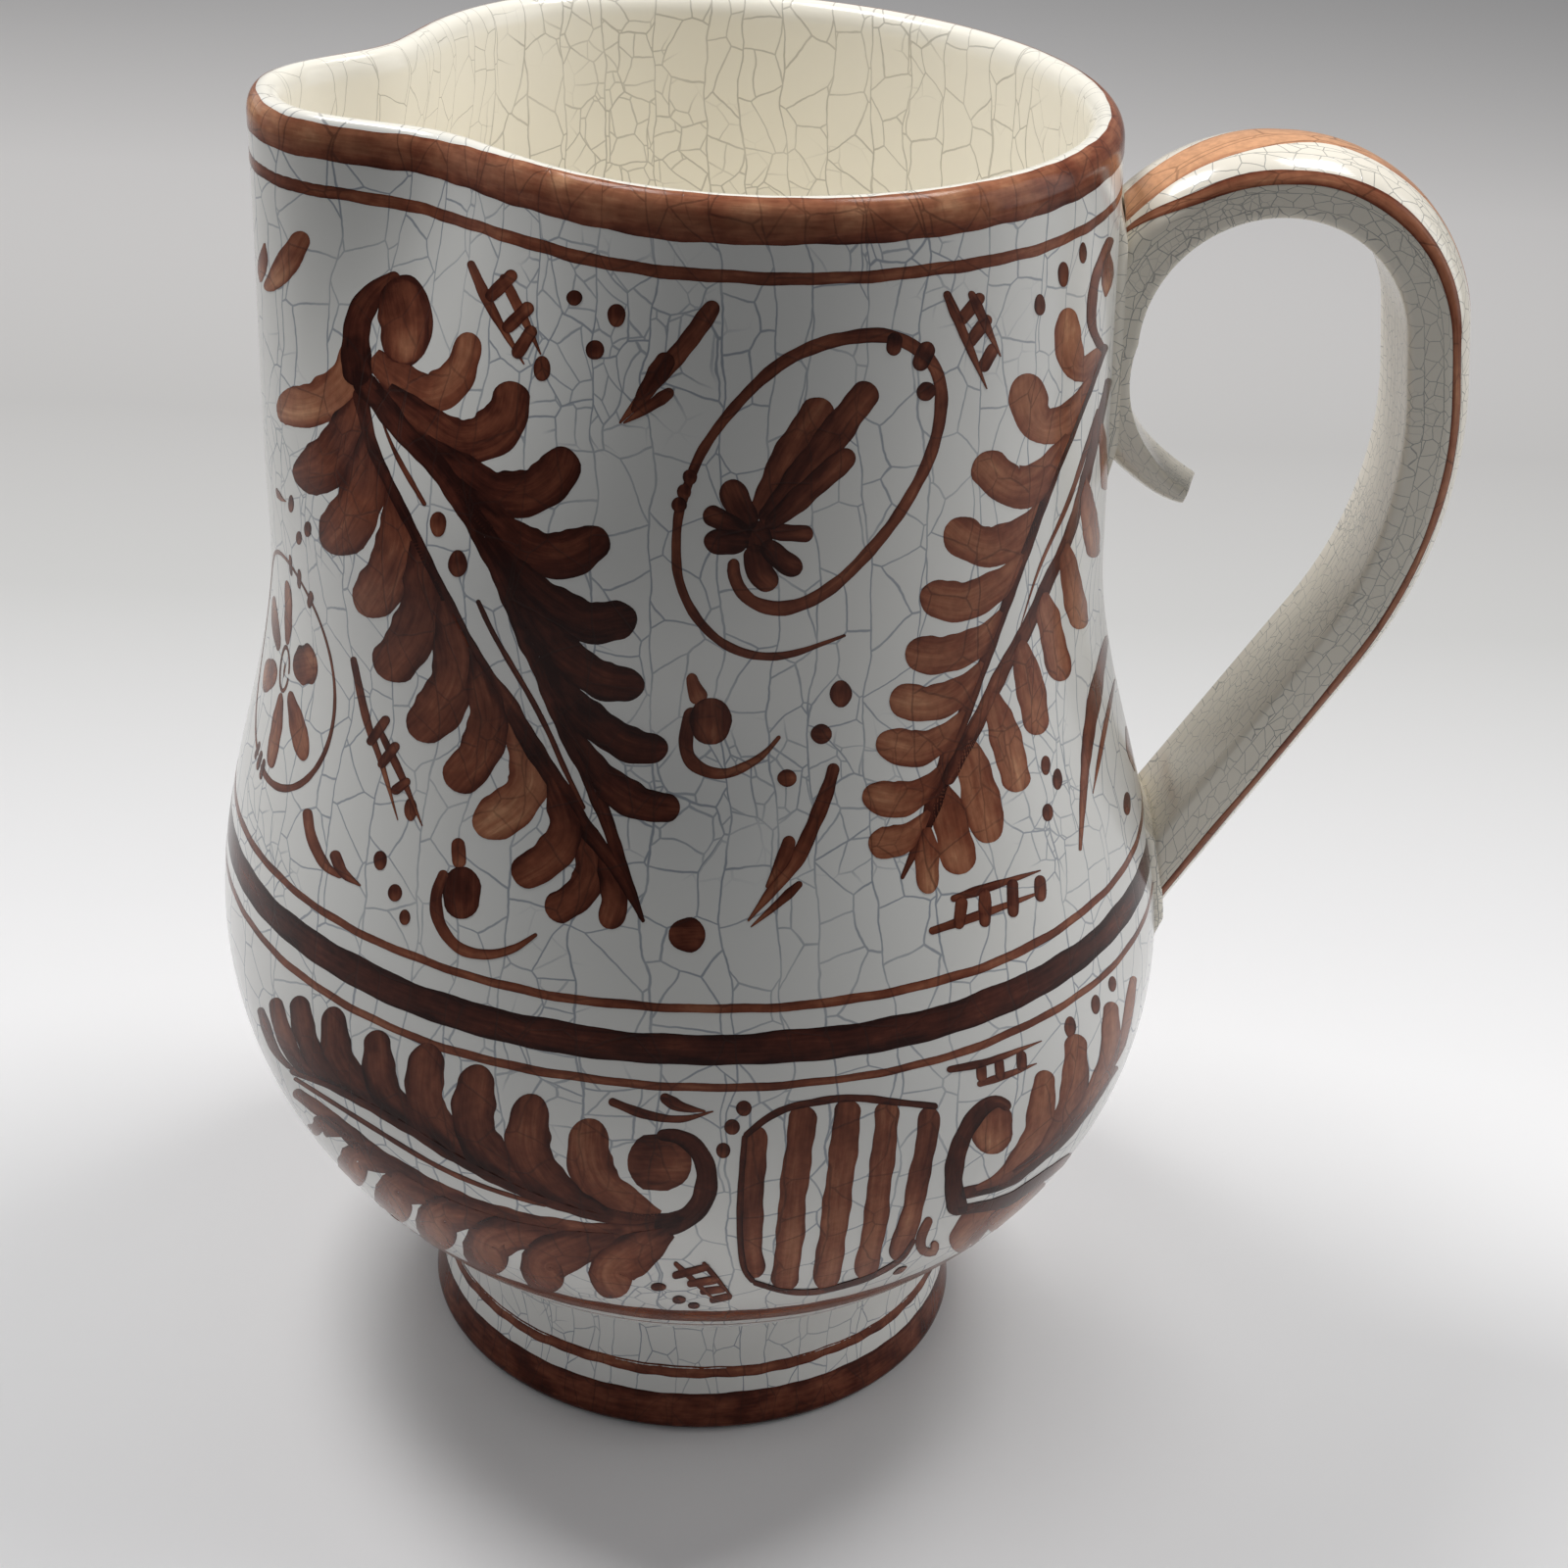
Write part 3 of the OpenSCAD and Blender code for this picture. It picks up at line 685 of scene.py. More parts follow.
neck([366, 394, 363, 356, 366, 326, 378, 303, 396, 287, 408, 281], 29, (1.1, 1.05, 1.0, 0.85, 0.4), 0.16, 0.1)
neck([404, 284, 413, 328, 412, 371], 55, (0.7, 1.0, 0.85), 0.42, 0.3)
neck([400, 286, 420, 286, 434, 308, 437, 338, 427, 362, 413, 373], 9, EVEN, 0.2, 0.1)
neck([386, 420, 405, 465, 434, 516], 6, POINT_START, 0.3, 0.1)
neck([487, 612, 501, 642, 519, 674, 542, 713, 561, 750, 575, 782, 596, 826], 6, EVEN, 0.26, 0.1)
dot(neck, 447, 535, 9, 13)
dot(neck, 467, 575, 10, 14)

# Right fern on the neck
RIB_C = [1128, 351, 1101, 422, 1074, 489, 1048, 560, 1021, 632, 994, 703, 972, 761, 958, 802, 945, 842, 920, 897]
RIB_D = [1132, 386, 1112, 471, 1092, 543, 1070, 592, 1048, 641, 1025, 681, 1003, 726, 985, 761, 964, 800]
fern(neck, RIB_C, (0.3, 0.9, 1.1, 0.95, 0.6), 0.6, 0.2, [(1124, 356, 1108, 376, 1096, 372, 1090, 349, 1090, 314, 28)])
fern(neck, RIB_C, FROND, 0.56, 0.2, [
    (1115, 383, 1103, 408, 1087, 428, 1067, 436, 1052, 420, 1047, 381, 40),
    (1092, 441, 1080, 464, 1062, 487, 1041, 497, 1021, 489, 998, 465, 45),
    (1067, 509, 1055, 528, 1037, 546, 1014, 558, 991, 553, 967, 534, 44),
    (1044, 562, 1030, 585, 1011, 601, 988, 613, 966, 613, 939, 605, 42),
    (1024, 622, 1008, 645, 988, 660, 964, 668, 944, 668, 924, 663, 40),
    (1005, 674, 990, 694, 971, 710, 948, 718, 928, 716, 908, 711, 39),
    (986, 724, 972, 744, 955, 757, 934, 764, 914, 761, 894, 756, 38),
    (966, 778, 953, 797, 937, 809, 916, 816, 898, 814, 880, 810, 37),
    (950, 826, 938, 843, 922, 855, 903, 860, 886, 858, 33)
])
fern(neck, RIB_D, (0.3, 0.95, 1.05, 1.06, 0.9), 0.56, 0.2, [
    (946, 842, 946, 880, 947, 912, 23), (962, 800, 973, 853, 982, 892, 36), (986, 752, 1000, 811, 1011, 860, 37),
    (1012, 704, 1028, 760, 1040, 808, 31), (1040, 650, 1053, 710, 1059, 750, 28),
    (1064, 602, 1076, 660, 1084, 695, 25), (1086, 552, 1096, 609, 1103, 642, 21),
    (1105, 484, 1112, 531, 1116, 569, 16), (1124, 430, 1128, 500, 8)
])
neck(RIB_C, 13, (0.65, 0.7, 0.7, 0.8, 1.0, 1.5, 0.3), 0.22, 0.12)
neck(RIB_D, 14, (0.5, 0.7, 0.8, 1.0, 1.1, 1.1), 0.26, 0.14)
neck([1121, 417, 1092, 507, 1061, 578, 1041, 640], 5, POINT_END, 0.4, 0.2)
neck([1124, 356, 1114, 330, 1117, 288, 1128, 257, 1134, 242], 10, EVEN, 0.34, 0.2)
neck([1131, 256, 1130, 280, 1128, 303], 14, LEAF, 0.5, 0.4)
neck([1131, 641, 1117, 712, 1108, 775, 1102, 868], 15, (0.25, 1.0, 0.6, 0.2), 0.42)
neck([1139, 686, 1126, 750, 1115, 810], 5, LEAF, 0.46)
neck([1149, 741, 1152, 765, 1158, 787], 5, LEAF, 0.46)
dot(neck, 1150, 820, 4, 12)

# Ring medallion with a bud
neck([863, 648, 839, 657, 813, 666, 788, 670, 762, 667, 737, 656, 716, 637, 701, 614, 692, 588, 690, 563, 691, 537,
      695, 515, 709, 476, 721, 453, 744, 422, 775, 389, 805, 366, 839, 351, 864, 345, 890, 342, 911, 344, 933, 354,
      952, 372, 960, 395, 960, 418, 956, 443, 946, 473, 930, 504, 910, 535, 885, 565, 859, 591, 834, 609, 813, 618,
      793, 621, 772, 616, 757, 604, 749, 586, 749, 570], 14,
      (0.2, 0.65, 0.7, 0.72, 0.75, 0.8, 1.0, 1.1, 1.0, 0.9, 0.85, 0.9, 1.1, 0.9), 0.34, 0.14, 6.0)
neck([914, 339, 911, 363], 16, EVEN, 0.24)
neck([949, 349, 936, 378], 18, EVEN, 0.24)
neck([952, 392, 938, 407], 20, EVEN, 0.24)
for x, y in ((704, 487), (698, 502), (693, 515)):
    dot(neck, x, y, 8)
for points, width, tone in (
        ((774, 530, 803, 474, 828, 433, 844, 408), 40, 0.36), ((778, 535, 823, 479, 859, 433, 891, 392), 34, 0.36),
        ((782, 538, 823, 502, 849, 479, 871, 461), 26, 0.36), ((768, 540, 752, 512, 743, 490), 31, 0.2),
        ((766, 546, 739, 532, 718, 522), 23, 0.2), ((764, 552, 737, 553, 718, 551), 27, 0.2),
        ((768, 556, 775, 583, 791, 600), 29, 0.26), ((778, 554, 800, 573, 818, 583), 25, 0.24),
        ((780, 542, 808, 544, 830, 545), 19, 0.24)):
    neck(points, width, (0.6, 0.95, 1.0, 0.85), tone, 0.16)
dot(neck, 773, 548, 16, 17, 0.14, 0.05)

# Flower in a ring, beside the spout
FLOWER_AT = (-155.2, 121.6)
FLOWER_RING, FLOWER_EYE = 16.3, (1.9, 3.2)
PETAL_FROM, PETAL_MIDDLE, TICK_HALF = 3.6, 8.5, 1.6


def flower_place(p):
    r = wall_r(*FLOWER_AT)
    return FLOWER_AT[0] + np.degrees(p[..., 0]/r), FLOWER_AT[1] + p[..., 1]


def flower_stroke(points, width, shape, tone, core):
    neck(points, width, shape, tone, core, 0.6, flower_place, PX_MM)


def oval(rx, ry, turns):
    return [(rx*math.cos(t), ry*math.sin(t)) for t in np.radians(turns)]


def spoke(turn, *radii):
    c, s = math.cos(math.radians(turn)), math.sin(math.radians(turn))
    return [(r*c, r*s) for r in radii]


flower_stroke(oval(FLOWER_RING, FLOWER_RING, np.linspace(-100, 252, 40)), 1.0,
              (1.2, 1.0, 0.7, 0.6, 0.7, 0.7, 0.7), 0.36, 0.15)
for turn, reach, width in ((92, 13.0, 4.0), (27, 12.2, 6.0), (-38, 14.0, 5.0), (-88, 14.6, 4.6), (-150, 12.4, 5.0),
                           (153, 12.6, 5.0)):
    flower_stroke(spoke(turn, PETAL_FROM, PETAL_MIDDLE, reach), width, (0.4, 0.9, 1.0, 0.8), 0.46, 0.3)
flower_stroke(oval(*FLOWER_EYE, np.linspace(0, 350, 20)), 0.7, EVEN, 0.34, 0.15)
flower_stroke([(0.0, -1.3), (0.0, 1.0)], 0.8, LEAF, 0.46, 0.2)
for turn in (84, 72, 58, -97, -104, -111):
    flower_stroke(spoke(turn, FLOWER_RING - TICK_HALF, FLOWER_RING + TICK_HALF), 1.4, EVEN, 0.3, 0.15)

# Ladders
ladder(neck, [[479, 266, 502, 316, 535, 372], [512, 280, 538, 332, 552, 362]],
       [[497, 306, 526, 277], [514, 338, 543, 310], [525, 365, 545, 333]], 15)
ladder(neck, [[965, 297, 1007, 397], [990, 297, 1021, 364]],
       [[978, 330, 1003, 300], [987, 353, 1010, 322], [1001, 379, 1016, 351]], 14)
ladder(neck, [[360, 670, 374, 734, 390, 781, 406, 837], [388, 746, 412, 797, 431, 843]],
       [[376, 760, 396, 731], [387, 783, 406, 758], [400, 809, 418, 795]], 11)
dot(neck, 419, 826, 7, 12)
ladder(neck, [[970, 918, 1062, 888], [948, 951, 1010, 930, 1068, 908]],
       [[982, 915, 978, 948], [1005, 907, 1005, 946], [1033, 897, 1034, 936], [1061, 893, 1062, 920]], 13)

# Dots
for x, y, rx, ry in ((586, 304, 8, 8), (629, 322, 10, 12), (607, 357, 10, 10), (553, 376, 9, 13), (858, 708, 11, 14),
        (838, 749, 11, 10), (803, 794, 10, 9), (1061, 311, 6, 11), (1085, 280, 6, 13), (1105, 258, 4, 11),
        (1067, 781, 5, 10), (1079, 795, 5, 11), (1069, 829, 6, 9), (388, 878, 7, 10), (403, 911, 7, 9),
        (413, 936, 6, 8), (314, 540, 4, 8), (305, 549, 3, 7), (297, 514, 3, 9), (701, 954, 19, 18)):
    dot(neck, x, y, rx, ry)

# Leaf strokes and commas
neck([731, 308, 704, 346, 671, 386, 632, 432], 21, (0.85, 1.0, 0.8, 0.12), 0.4)
neck([684, 361, 668, 386, 645, 420], 24, (0.8, 1.0, 0.7, 0.2), 0.34)
neck([687, 398, 661, 416, 636, 432], 14, POINT_END, 0.34)
neck([852, 779, 844, 807, 829, 844, 812, 879, 790, 906, 763, 940], 16, (0.8, 1.0, 1.0, 0.8, 0.15), 0.36)
neck([807, 853, 799, 877, 782, 906], 16, (0.8, 1.0, 0.7, 0.2), 0.34)
neck([818, 900, 794, 922, 766, 946], 10, POINT_END, 0.36)
neck([313, 825, 318, 855, 332, 883, 349, 895], 12, (0.8, 1.0, 0.9, 0.5), 0.42)
neck([340, 868, 350, 890, 368, 904], 13, (0.8, 1.0, 0.7, 0.15), 0.4)
neck([311, 237, 296, 263, 283, 283, 271, 296], 25, (0.8, 1.0, 0.95, 0.5), 0.54, 0.4)
neck([270, 248, 268, 270, 266, 288], 11, LEAF, 0.46)
neck([282, 498, 286, 508, 292, 512], 5, LEAF, 0.46)
neck([705, 687, 708, 700, 716, 718], 18, (0.55, 0.9, 1.2), 0.46)
dot(neck, 725, 736, 23, 24, 0.24, 0.25)
neck([708, 722, 700, 753, 704, 775, 721, 787, 742, 789, 764, 780, 781, 768, 796, 751], 16,
      (1.0, 1.0, 0.85, 0.7, 0.5, 0.25), 0.4)
neck([467, 855, 469, 886], 15, (0.8, 1.0, 1.1), 0.46)
dot(neck, 471, 911, 21, 27, 0.24, 0.25)
neck([454, 888, 445, 915, 449, 943, 468, 967, 496, 974, 524, 968, 548, 953], 13, (0.9, 1.0, 0.9, 0.8, 0.3), 0.4)

# Left fern on the belly
RIB_E = [296, 1091, 340, 1107, 378, 1126, 420, 1150, 462, 1176, 505, 1199, 549, 1219, 590, 1233, 631, 1242, 661, 1246,
         698, 1243]
RIB_F = [300, 1113, 340, 1143, 379, 1176, 426, 1206, 472, 1229, 522, 1245, 572, 1254, 621, 1258, 664, 1255, 696, 1247]
fern(belly, RIB_E, TAILED, 0.28, 0.2, [
    (300, 1094, 280, 1070, 265, 1028, 10), (330, 1104, 305, 1085, 288, 1050, 280, 1018, 18),
    (363, 1118, 335, 1098, 313, 1060, 304, 1016, 24), (412, 1143, 384, 1123, 364, 1103, 345, 1074, 339, 1027, 30),
    (458, 1170, 428, 1149, 402, 1126, 388, 1100, 384, 1051, 34),
    (507, 1197, 474, 1177, 448, 1154, 433, 1121, 437, 1064, 41),
    (560, 1223, 525, 1202, 497, 1177, 483, 1144, 488, 1086, 45),
    (619, 1241, 583, 1225, 555, 1202, 539, 1169, 543, 1116, 46)
])
fern(belly, RIB_E, TAILED, 0.4, 0.2, [(673, 1243, 642, 1230, 614, 1210, 601, 1182, 602, 1141, 47)])
fern(belly, RIB_F, HOOK, 0.42, 0.22, [
    (374, 1161, 351, 1151, 328, 1149, 324, 1159, 336, 1182, 26),
    (418, 1194, 392, 1185, 364, 1180, 360, 1192, 372, 1216, 31),
    (463, 1224, 433, 1215, 405, 1210, 400, 1223, 414, 1246, 36),
    (520, 1244, 486, 1238, 453, 1238, 446, 1251, 460, 1273, 42),
    (571, 1256, 535, 1256, 502, 1264, 497, 1276, 514, 1296, 46),
    (629, 1260, 596, 1271, 560, 1284, 555, 1297, 572, 1314, 48),
    (683, 1254, 655, 1274, 629, 1292, 626, 1304, 637, 1321, 49)
])
belly(RIB_E, 18, (0.5, 0.9, 1.0, 1.0, 0.9, 0.8), 0.28, 0.12)
belly(RIB_F, 22, (0.5, 0.8, 1.0, 1.0, 0.9, 0.7), 0.42, 0.14)
belly([300, 1100, 373, 1146, 439, 1186, 489, 1209, 538, 1225, 558, 1230], 5, EVEN, 0.32, 0.1)
dot(belly, 673, 1186, 33, 31, 0.36, 0.3)
belly([668, 1254, 700, 1243, 717, 1224, 721, 1196, 711, 1173, 692, 1160, 670, 1158], 23,
       (0.9, 1.0, 1.0, 0.95, 0.75, 0.5), 0.2, 0.1)

# Shield with bars
belly([759, 1160, 783, 1141, 806, 1130, 830, 1125, 856, 1121, 883, 1121, 918, 1125, 957, 1129], 8, EVEN, 0.2, 0.1)
belly([760, 1158, 756, 1211, 755, 1258, 759, 1293, 769, 1308], 7, EVEN, 0.24, 0.1)
belly([768, 1308, 800, 1317, 830, 1318, 862, 1311, 891, 1301, 918, 1285, 933, 1264], 6, EVEN, 0.24, 0.1)
for points, width, tone in (
        ((773, 1149, 769, 1191, 767, 1229, 766, 1270, 771, 1304), 25, 0.40),
        ((821, 1128, 815, 1176, 809, 1220, 806, 1264, 799, 1317), 29, 0.52),
        ((866, 1122, 862, 1164, 856, 1211, 850, 1258, 841, 1317), 29, 0.42),
        ((906, 1123, 903, 1164, 897, 1211, 893, 1249, 881, 1306), 25, 0.52),
        ((949, 1129, 946, 1161, 937, 1205, 929, 1243, 913, 1286), 22, 0.42)):
    belly(points, width, (1.0, 1.0, 1.0, 0.95), tone, 0.26)

# Right fern on the belly
RIB_G = [978, 1219, 1023, 1207, 1053, 1186, 1082, 1162, 1108, 1132, 1140, 1088]
RIB_H = [978, 1235, 1023, 1226, 1053, 1208, 1090, 1180, 1120, 1146]
fern(belly, RIB_G, TAILED, 0.5, 0.16, [
    (994, 1217, 1027, 1200, 1054, 1164, 1062, 1135, 1067, 1092, 28),
    (1033, 1201, 1072, 1169, 1095, 1117, 1098, 1055, 28), (1072, 1169, 1111, 1123, 1131, 1078, 1134, 1022, 20),
    (1111, 1123, 1144, 1065, 1157, 996, 10)
])
fern(belly, RIB_H, (1.4, 1.2, 1.04, 0.98, 0.84), 0.56, 0.24, [
    (1014, 1228, 994, 1248, 974, 1276, 28), (1062, 1202, 1038, 1230, 1009, 1255, 26)
])
belly(RIB_G, 14, (0.8, 1.0, 1.0, 0.8, 0.3), 0.32, 0.14)
belly(RIB_H, 12, (0.9, 1.0, 0.8, 0.5, 0.2), 0.36, 0.15)
dot(belly, 1012, 1150, 23, 28, 0.4, 0.4)
belly([978, 1240, 973, 1205, 977, 1176, 988, 1150, 1003, 1131, 1018, 1124, 1031, 1131], 19, (1.3, 1.0, 1.0, 0.9, 0.6),
       0.2, 0.1)
ladder(belly, [[966, 1092, 1009, 1083, 1063, 1062], [997, 1107, 1030, 1096, 1058, 1085]],
       [[1001, 1084, 1002, 1104], [1019, 1079, 1021, 1102], [1042, 1072, 1043, 1093]], 11)
ladder(belly, [[688, 1288, 731, 1328], [717, 1288, 747, 1323]],
       [[686, 1302, 724, 1292], [701, 1310, 734, 1305], [714, 1318, 741, 1315], [724, 1327, 747, 1322]], 8)
belly([621, 1123, 658, 1137, 694, 1142, 728, 1134], 10, (0.9, 1.0, 0.8, 0.15), 0.26)
belly([674, 1118, 694, 1129, 720, 1134], 13, (0.8, 1.0, 0.6, 0.15), 0.28)
belly([949, 1242, 940, 1262, 941, 1275, 952, 1277, 954, 1266], 10, EVEN, 0.42)
belly([911, 1300, 925, 1292], 6, LEAF, 0.36)
for x, y, rx, ry in ((759, 1131, 8, 8), (747, 1150, 8, 8), (738, 1174, 8, 8), (1092, 1048, 6, 11), (1118, 1025, 5, 10),
        (1135, 1004, 4, 8), (672, 1313, 8, 4), (693, 1326, 7, 4), (708, 1332, 6, 3)):
    dot(belly, x, y, rx, ry)


def pile_up(marks):
    """How many other marks of the same plane lie under each point: doubled paint fires darker."""
    piles = []
    for i, a in enumerate(marks):
        pile = np.zeros(a["grid"].shape[:2])
        low, high = a["grid"].min((0, 1)), a["grid"].max((0, 1))
        for j, b in enumerate(marks):
            reach = b["half"].max()
            if i == j or a["place"] is not b["place"]:
                continue
            if (b["line"].max(0) + reach < low).any() or (b["line"].min(0) - reach > high).any():
                continue
            gap = np.linalg.norm(a["grid"][:, :, None] - b["line"], axis=-1)
            near = gap.argmin(-1)
            depth = b["half"][near] - np.take_along_axis(gap, near[..., None], -1)[..., 0]
            pile += np.clip(depth/(4*a["px"]), 0, 1)
        piles.append(np.minimum(pile, 1.5))
    return piles


PAINT_PROUD, PAINT_SUNK, EDGE_SUNK = 0.030, 0.06, 0.02
# Marks that lie over each other are set at different heights
LAYER_STEP, LAYERS = 0.004, 8
# The wall turns fast under the belly, so the paint stands higher there
STEEP_GAIN, STEEP_RUN = 2.5, 30.0
# How much darker the paint is at its edges and where it is doubled
EDGE_DARK, PILE_DARK = 0.16, 0.15
BACK_TURN = 180.0
# A row of a mark stays where this share of it meets the wall, and the last rows there close to a round end
MET_SHARE, ROUND_ROWS, ROUND_FROM = 0.6, 6, 0.03


def seen_rows(met):
    """The rows of a mark that meet the wall, from the first to the last."""
    found = np.flatnonzero(met.mean(1) > MET_SHARE)
    return slice(found[0], found[-1] + 1) if len(found) > 3 else slice(0, len(met))


def folded(angle, z):
    """Points of a mark in the cells that lie the wrong way round, which happens at the edge of the seen side."""
    area = (np.diff(angle, axis=0)[:, :-1]*np.diff(z, axis=1)[:-1]
            - np.diff(z, axis=0)[:, :-1]*np.diff(angle, axis=1)[:-1])
    wrong = area*np.sign(np.median(area)) < 0
    return np.any([np.pad(wrong, ((a, 1 - a), (b, 1 - b))) for a in (0, 1) for b in (0, 1)], axis=0)


def end_round(values, at_start, at_end):
    """Rows of a mark that is cut at the edge of the seen side, drawn together to a round end there."""
    rows = min(ROUND_ROWS, len(values)//2)
    arc = np.sqrt(1 - (1 - np.linspace(ROUND_FROM, 1, rows))**2)
    pull = np.ones(len(values))
    if at_start:
        pull[:rows] = arc
    if at_end:
        pull[-rows:] = arc[::-1]
    middle = values[:, len(ACROSS)//2, None]
    return middle + (values - middle)*pull[:, None]


class Skins:
    """Thin closed skins gathered into one paint piece."""

    def __init__(self):
        self.points, self.faces, self.normals = [], [], []
        self.looks = {"tone": [], "flow": [], "chart": []}
        self.count = 0

    def add(self, upper, lower, normal, **looks):
        n, m = upper.shape[:2]
        i, j = n//2, m//2
        facing = np.cross(upper[i + 1, j] - upper[i, j], upper[i, j + 1] - upper[i, j])
        part = shell_faces(n, m, self.count)
        self.faces.append(part if facing @ normal[i, j] > 0 else part[:, ::-1])
        self.points += [upper.reshape(-1, 3), lower.reshape(-1, 3)]
        self.normals += [normal.reshape(-1, 3), -normal.reshape(-1, 3)]
        for name, values in looks.items():
            self.looks[name] += [values.reshape(n*m, *values.shape[2:])]*2
        self.count += 2*n*m

    def piece(self, name):
        piece = add_mesh(name, np.concatenate(self.points), np.concatenate(self.faces).tolist())
        piece.data.normals_split_custom_set_from_vertices(np.concatenate(self.normals).tolist())
        for look, values in self.looks.items():
            set_attribute(piece, look, "POINT", np.concatenate(values))
        return piece


def brushwork(name):
    """One paint piece: each mark is a thin closed skin on the wall, once as seen and once on the far side."""
    marks = strokes[name]
    seen = wall_at_pixel(np.concatenate([mark["grid"].reshape(-1, 2) for mark in marks if mark["place"] is None]))
    start = 0
    skins = Skins()
    v = np.abs(ACROSS)
    for index, (mark, pile) in enumerate(zip(marks, pile_up(marks))):
        n, m = mark["grid"].shape[:2]
        rows, met = slice(0, n), np.ones((n, m), bool)
        if mark["place"] is None:
            angle, z, met = [values[start:start + n*m].reshape(n, m) for values in seen]
            start += n*m
            rows = seen_rows(met)
            angle, z = [end_round(values[rows], rows.start > 0, rows.stop < n) for values in (angle, z)]
        else:
            angle, z = mark["place"](mark["grid"])
        height = (PAINT_PROUD + LAYER_STEP*(index % LAYERS))*(1 + STEEP_GAIN*ease((BELLY_Z - z)/STEEP_RUN))
        proud = np.where(v == 1, -EDGE_SUNK, height)
        proud[[0, -1]] = -EDGE_SUNK
        if not met.all():
            proud[folded(angle, z)] = -EDGE_SUNK
        share = (mark["spots"]/mark["spots"][-1])[rows]
        pool = np.outer(ease(share*1.6 - 0.5)*ease(2.6 - 2.2*share), 1 - v**2)
        tone = np.clip(mark["tone"] - EDGE_DARK*v**4 + mark["core"]*pool - PILE_DARK*pile[rows], 0, 1)
        flow = np.stack(np.broadcast_arrays(mark["spots"][rows, None]/mark["px"]*PX_MM,
                                            mark["half"][rows, None]/mark["px"]*PX_MM*ACROSS, mark["seed"]), -1)
        for a in (angle, angle + BACK_TURN):
            skins.add(on_wall(a, z, proud), on_wall(a, z, -PAINT_SUNK), wall_normal(a, z),
                      tone=tone, flow=flow, chart=wall_chart(a % 360, z))
    return skins.piece(name)


def outward(grid, out):
    """Normals of a grid of points, on the side of the directions out."""
    n = np.cross(np.gradient(grid, axis=1), np.gradient(grid, axis=0))
    n = n/np.maximum(np.linalg.norm(n, axis=-1, keepdims=True), 1e-12)
    return n if (n*out).sum(-1).mean() >= 0 else -n


RING_STEPS = 721
ring_angles = np.linspace(0, 360, RING_STEPS)


def wobble(seed, size):
    """Smooth unevenness of a hand-held brush round the turning jug."""
    phases = np.random.default_rng(seed).uniform(0, 6.28, 6)
    a = np.radians(ring_angles)
    waves = sum(np.sin(k*a + p)/(1 + 0.35*i) for i, (k, p) in enumerate(zip((1, 3, 7, 13, 29, 57), phases)))
    return size*waves/2.2


# Width of the cells across a band, and how far in from its edge its full height starts
BAND_CELL, BAND_EDGE = 0.4, 0.25


def banded(name, bands):
    """One paint piece of rings, each with its surface, chart, edges, tone, core, lean of the tone, patches and seed.
    The lean lightens a band towards its upper edge; on the rim this is painted light from above.
    """
    skins = Skins()
    for surface, chart_of, low, high, tone, core, lean, patches, seed in bands:
        width = float(np.mean(high - low))
        inside = np.linspace(-1, 1, max(7, int(width/BAND_CELL)))
        v = np.concatenate([[-1.0], inside*(1 - BAND_EDGE/width), [1.0]])
        place = (low + high)[:, None]/2 + (high - low)[:, None]/2*v
        proud = np.where(np.abs(v) == 1, -EDGE_SUNK, PAINT_PROUD) + 0*place
        angle = np.repeat(ring_angles[:, None], len(v), 1)
        upper = surface(angle, place, proud)
        across = tone + core*(1 - v**2) + lean*v - 0.12*np.abs(v)**6
        flow = np.stack(np.broadcast_arrays(np.radians(ring_angles)[:, None]*CHART_R, place, seed), -1)
        skins.add(upper, surface(angle, place, -PAINT_SUNK + 0*proud),
                  outward(surface(angle, place, PAINT_PROUD + 0*proud), upper*(1, 1, 0)),
                  tone=across + patches[:, None]*(1 - 0.5*np.abs(v)), flow=flow, chart=chart_of(angle, place))
    return skins.piece(name)


def foot_surface(angle, z, proud):
    return upright(angle, foot_r(z) + proud, z)


def lip_chart(angle, up):
    return np.stack([np.radians(angle)*CHART_R, outer_m[-1] + up], -1)


def foot_chart(angle, z):
    return np.stack([np.radians(angle)*CHART_R, z + FOOT_CHART], -1)


def line_band(surface, chart_of, z, width, seed, tone=0.38, core=0.12):
    middle = z + wobble(seed, 0.25)
    half = width/2*(1 + wobble(seed + 50, 0.12))
    return surface, chart_of, middle - half, middle + half, tone, core, 0.0, wobble(seed + 80, 0.06), float(seed)


bands = banded("paint_bands", [
    line_band(on_wall, wall_chart, z, width, seed, *shades) for z, width, seed, *shades in (
        (83.7, 1.4, 1), (89.2, 4.5, 2, 0.06, 0.14), (94.9, 1.4, 3), (34.4, 6.2, 4, 0.42, 0.1), (28.0, 0.8, 7, 0.44))
])
rim_low = -1.6 + wobble(11, 0.35)
# The rim's band is narrower beside the spout
rim_high = 4.3 + wobble(12, 0.3) - 1.5*np.exp(-((ring_angles - 215)/22)**2)
rim = banded("paint_rim", [
    # Lean 0.17: the rim's brown gets lighter towards the lip's crest, a painted highlight from the light above, over
    # the paint's own tone
    (outside, lip_chart, rim_low, rim_high, 0.54, 0.10, 0.17, wobble(15, 0.2), 11.0),
    line_band(on_wall, wall_chart, 190.7, 1.7, 5, 0.38, 0.14),
])
foot_paint = banded("paint_foot", [
    (foot_surface, foot_chart, 0.05 + 0*ring_angles, 6.8 + wobble(21, 0.2), 0.2, 0.16, 0.06, wobble(25, 0.08), 21.0),
    line_band(foot_surface, foot_chart, 10.3, 2.0, 6, 0.34, 0.12),
])
neck_paint = brushwork("paint_neck")
belly_paint = brushwork("paint_belly")

# Stripes along the outer face of the strap

# Stripe, middle and half width in degrees round the crown, first loop angle, tone, the turn to the front at the neck
# and the length over which it fades
CROWN_STRIPES = (("middle", 80.0, 26.0, 152, 0.94, 34.0, 27.0), ("near", 163.0, 11.5, 150, 0.5, -26.0, 10.0),
                 ("far", 14.0, 12.0, 146, 0.5, 0.0, 27.0))


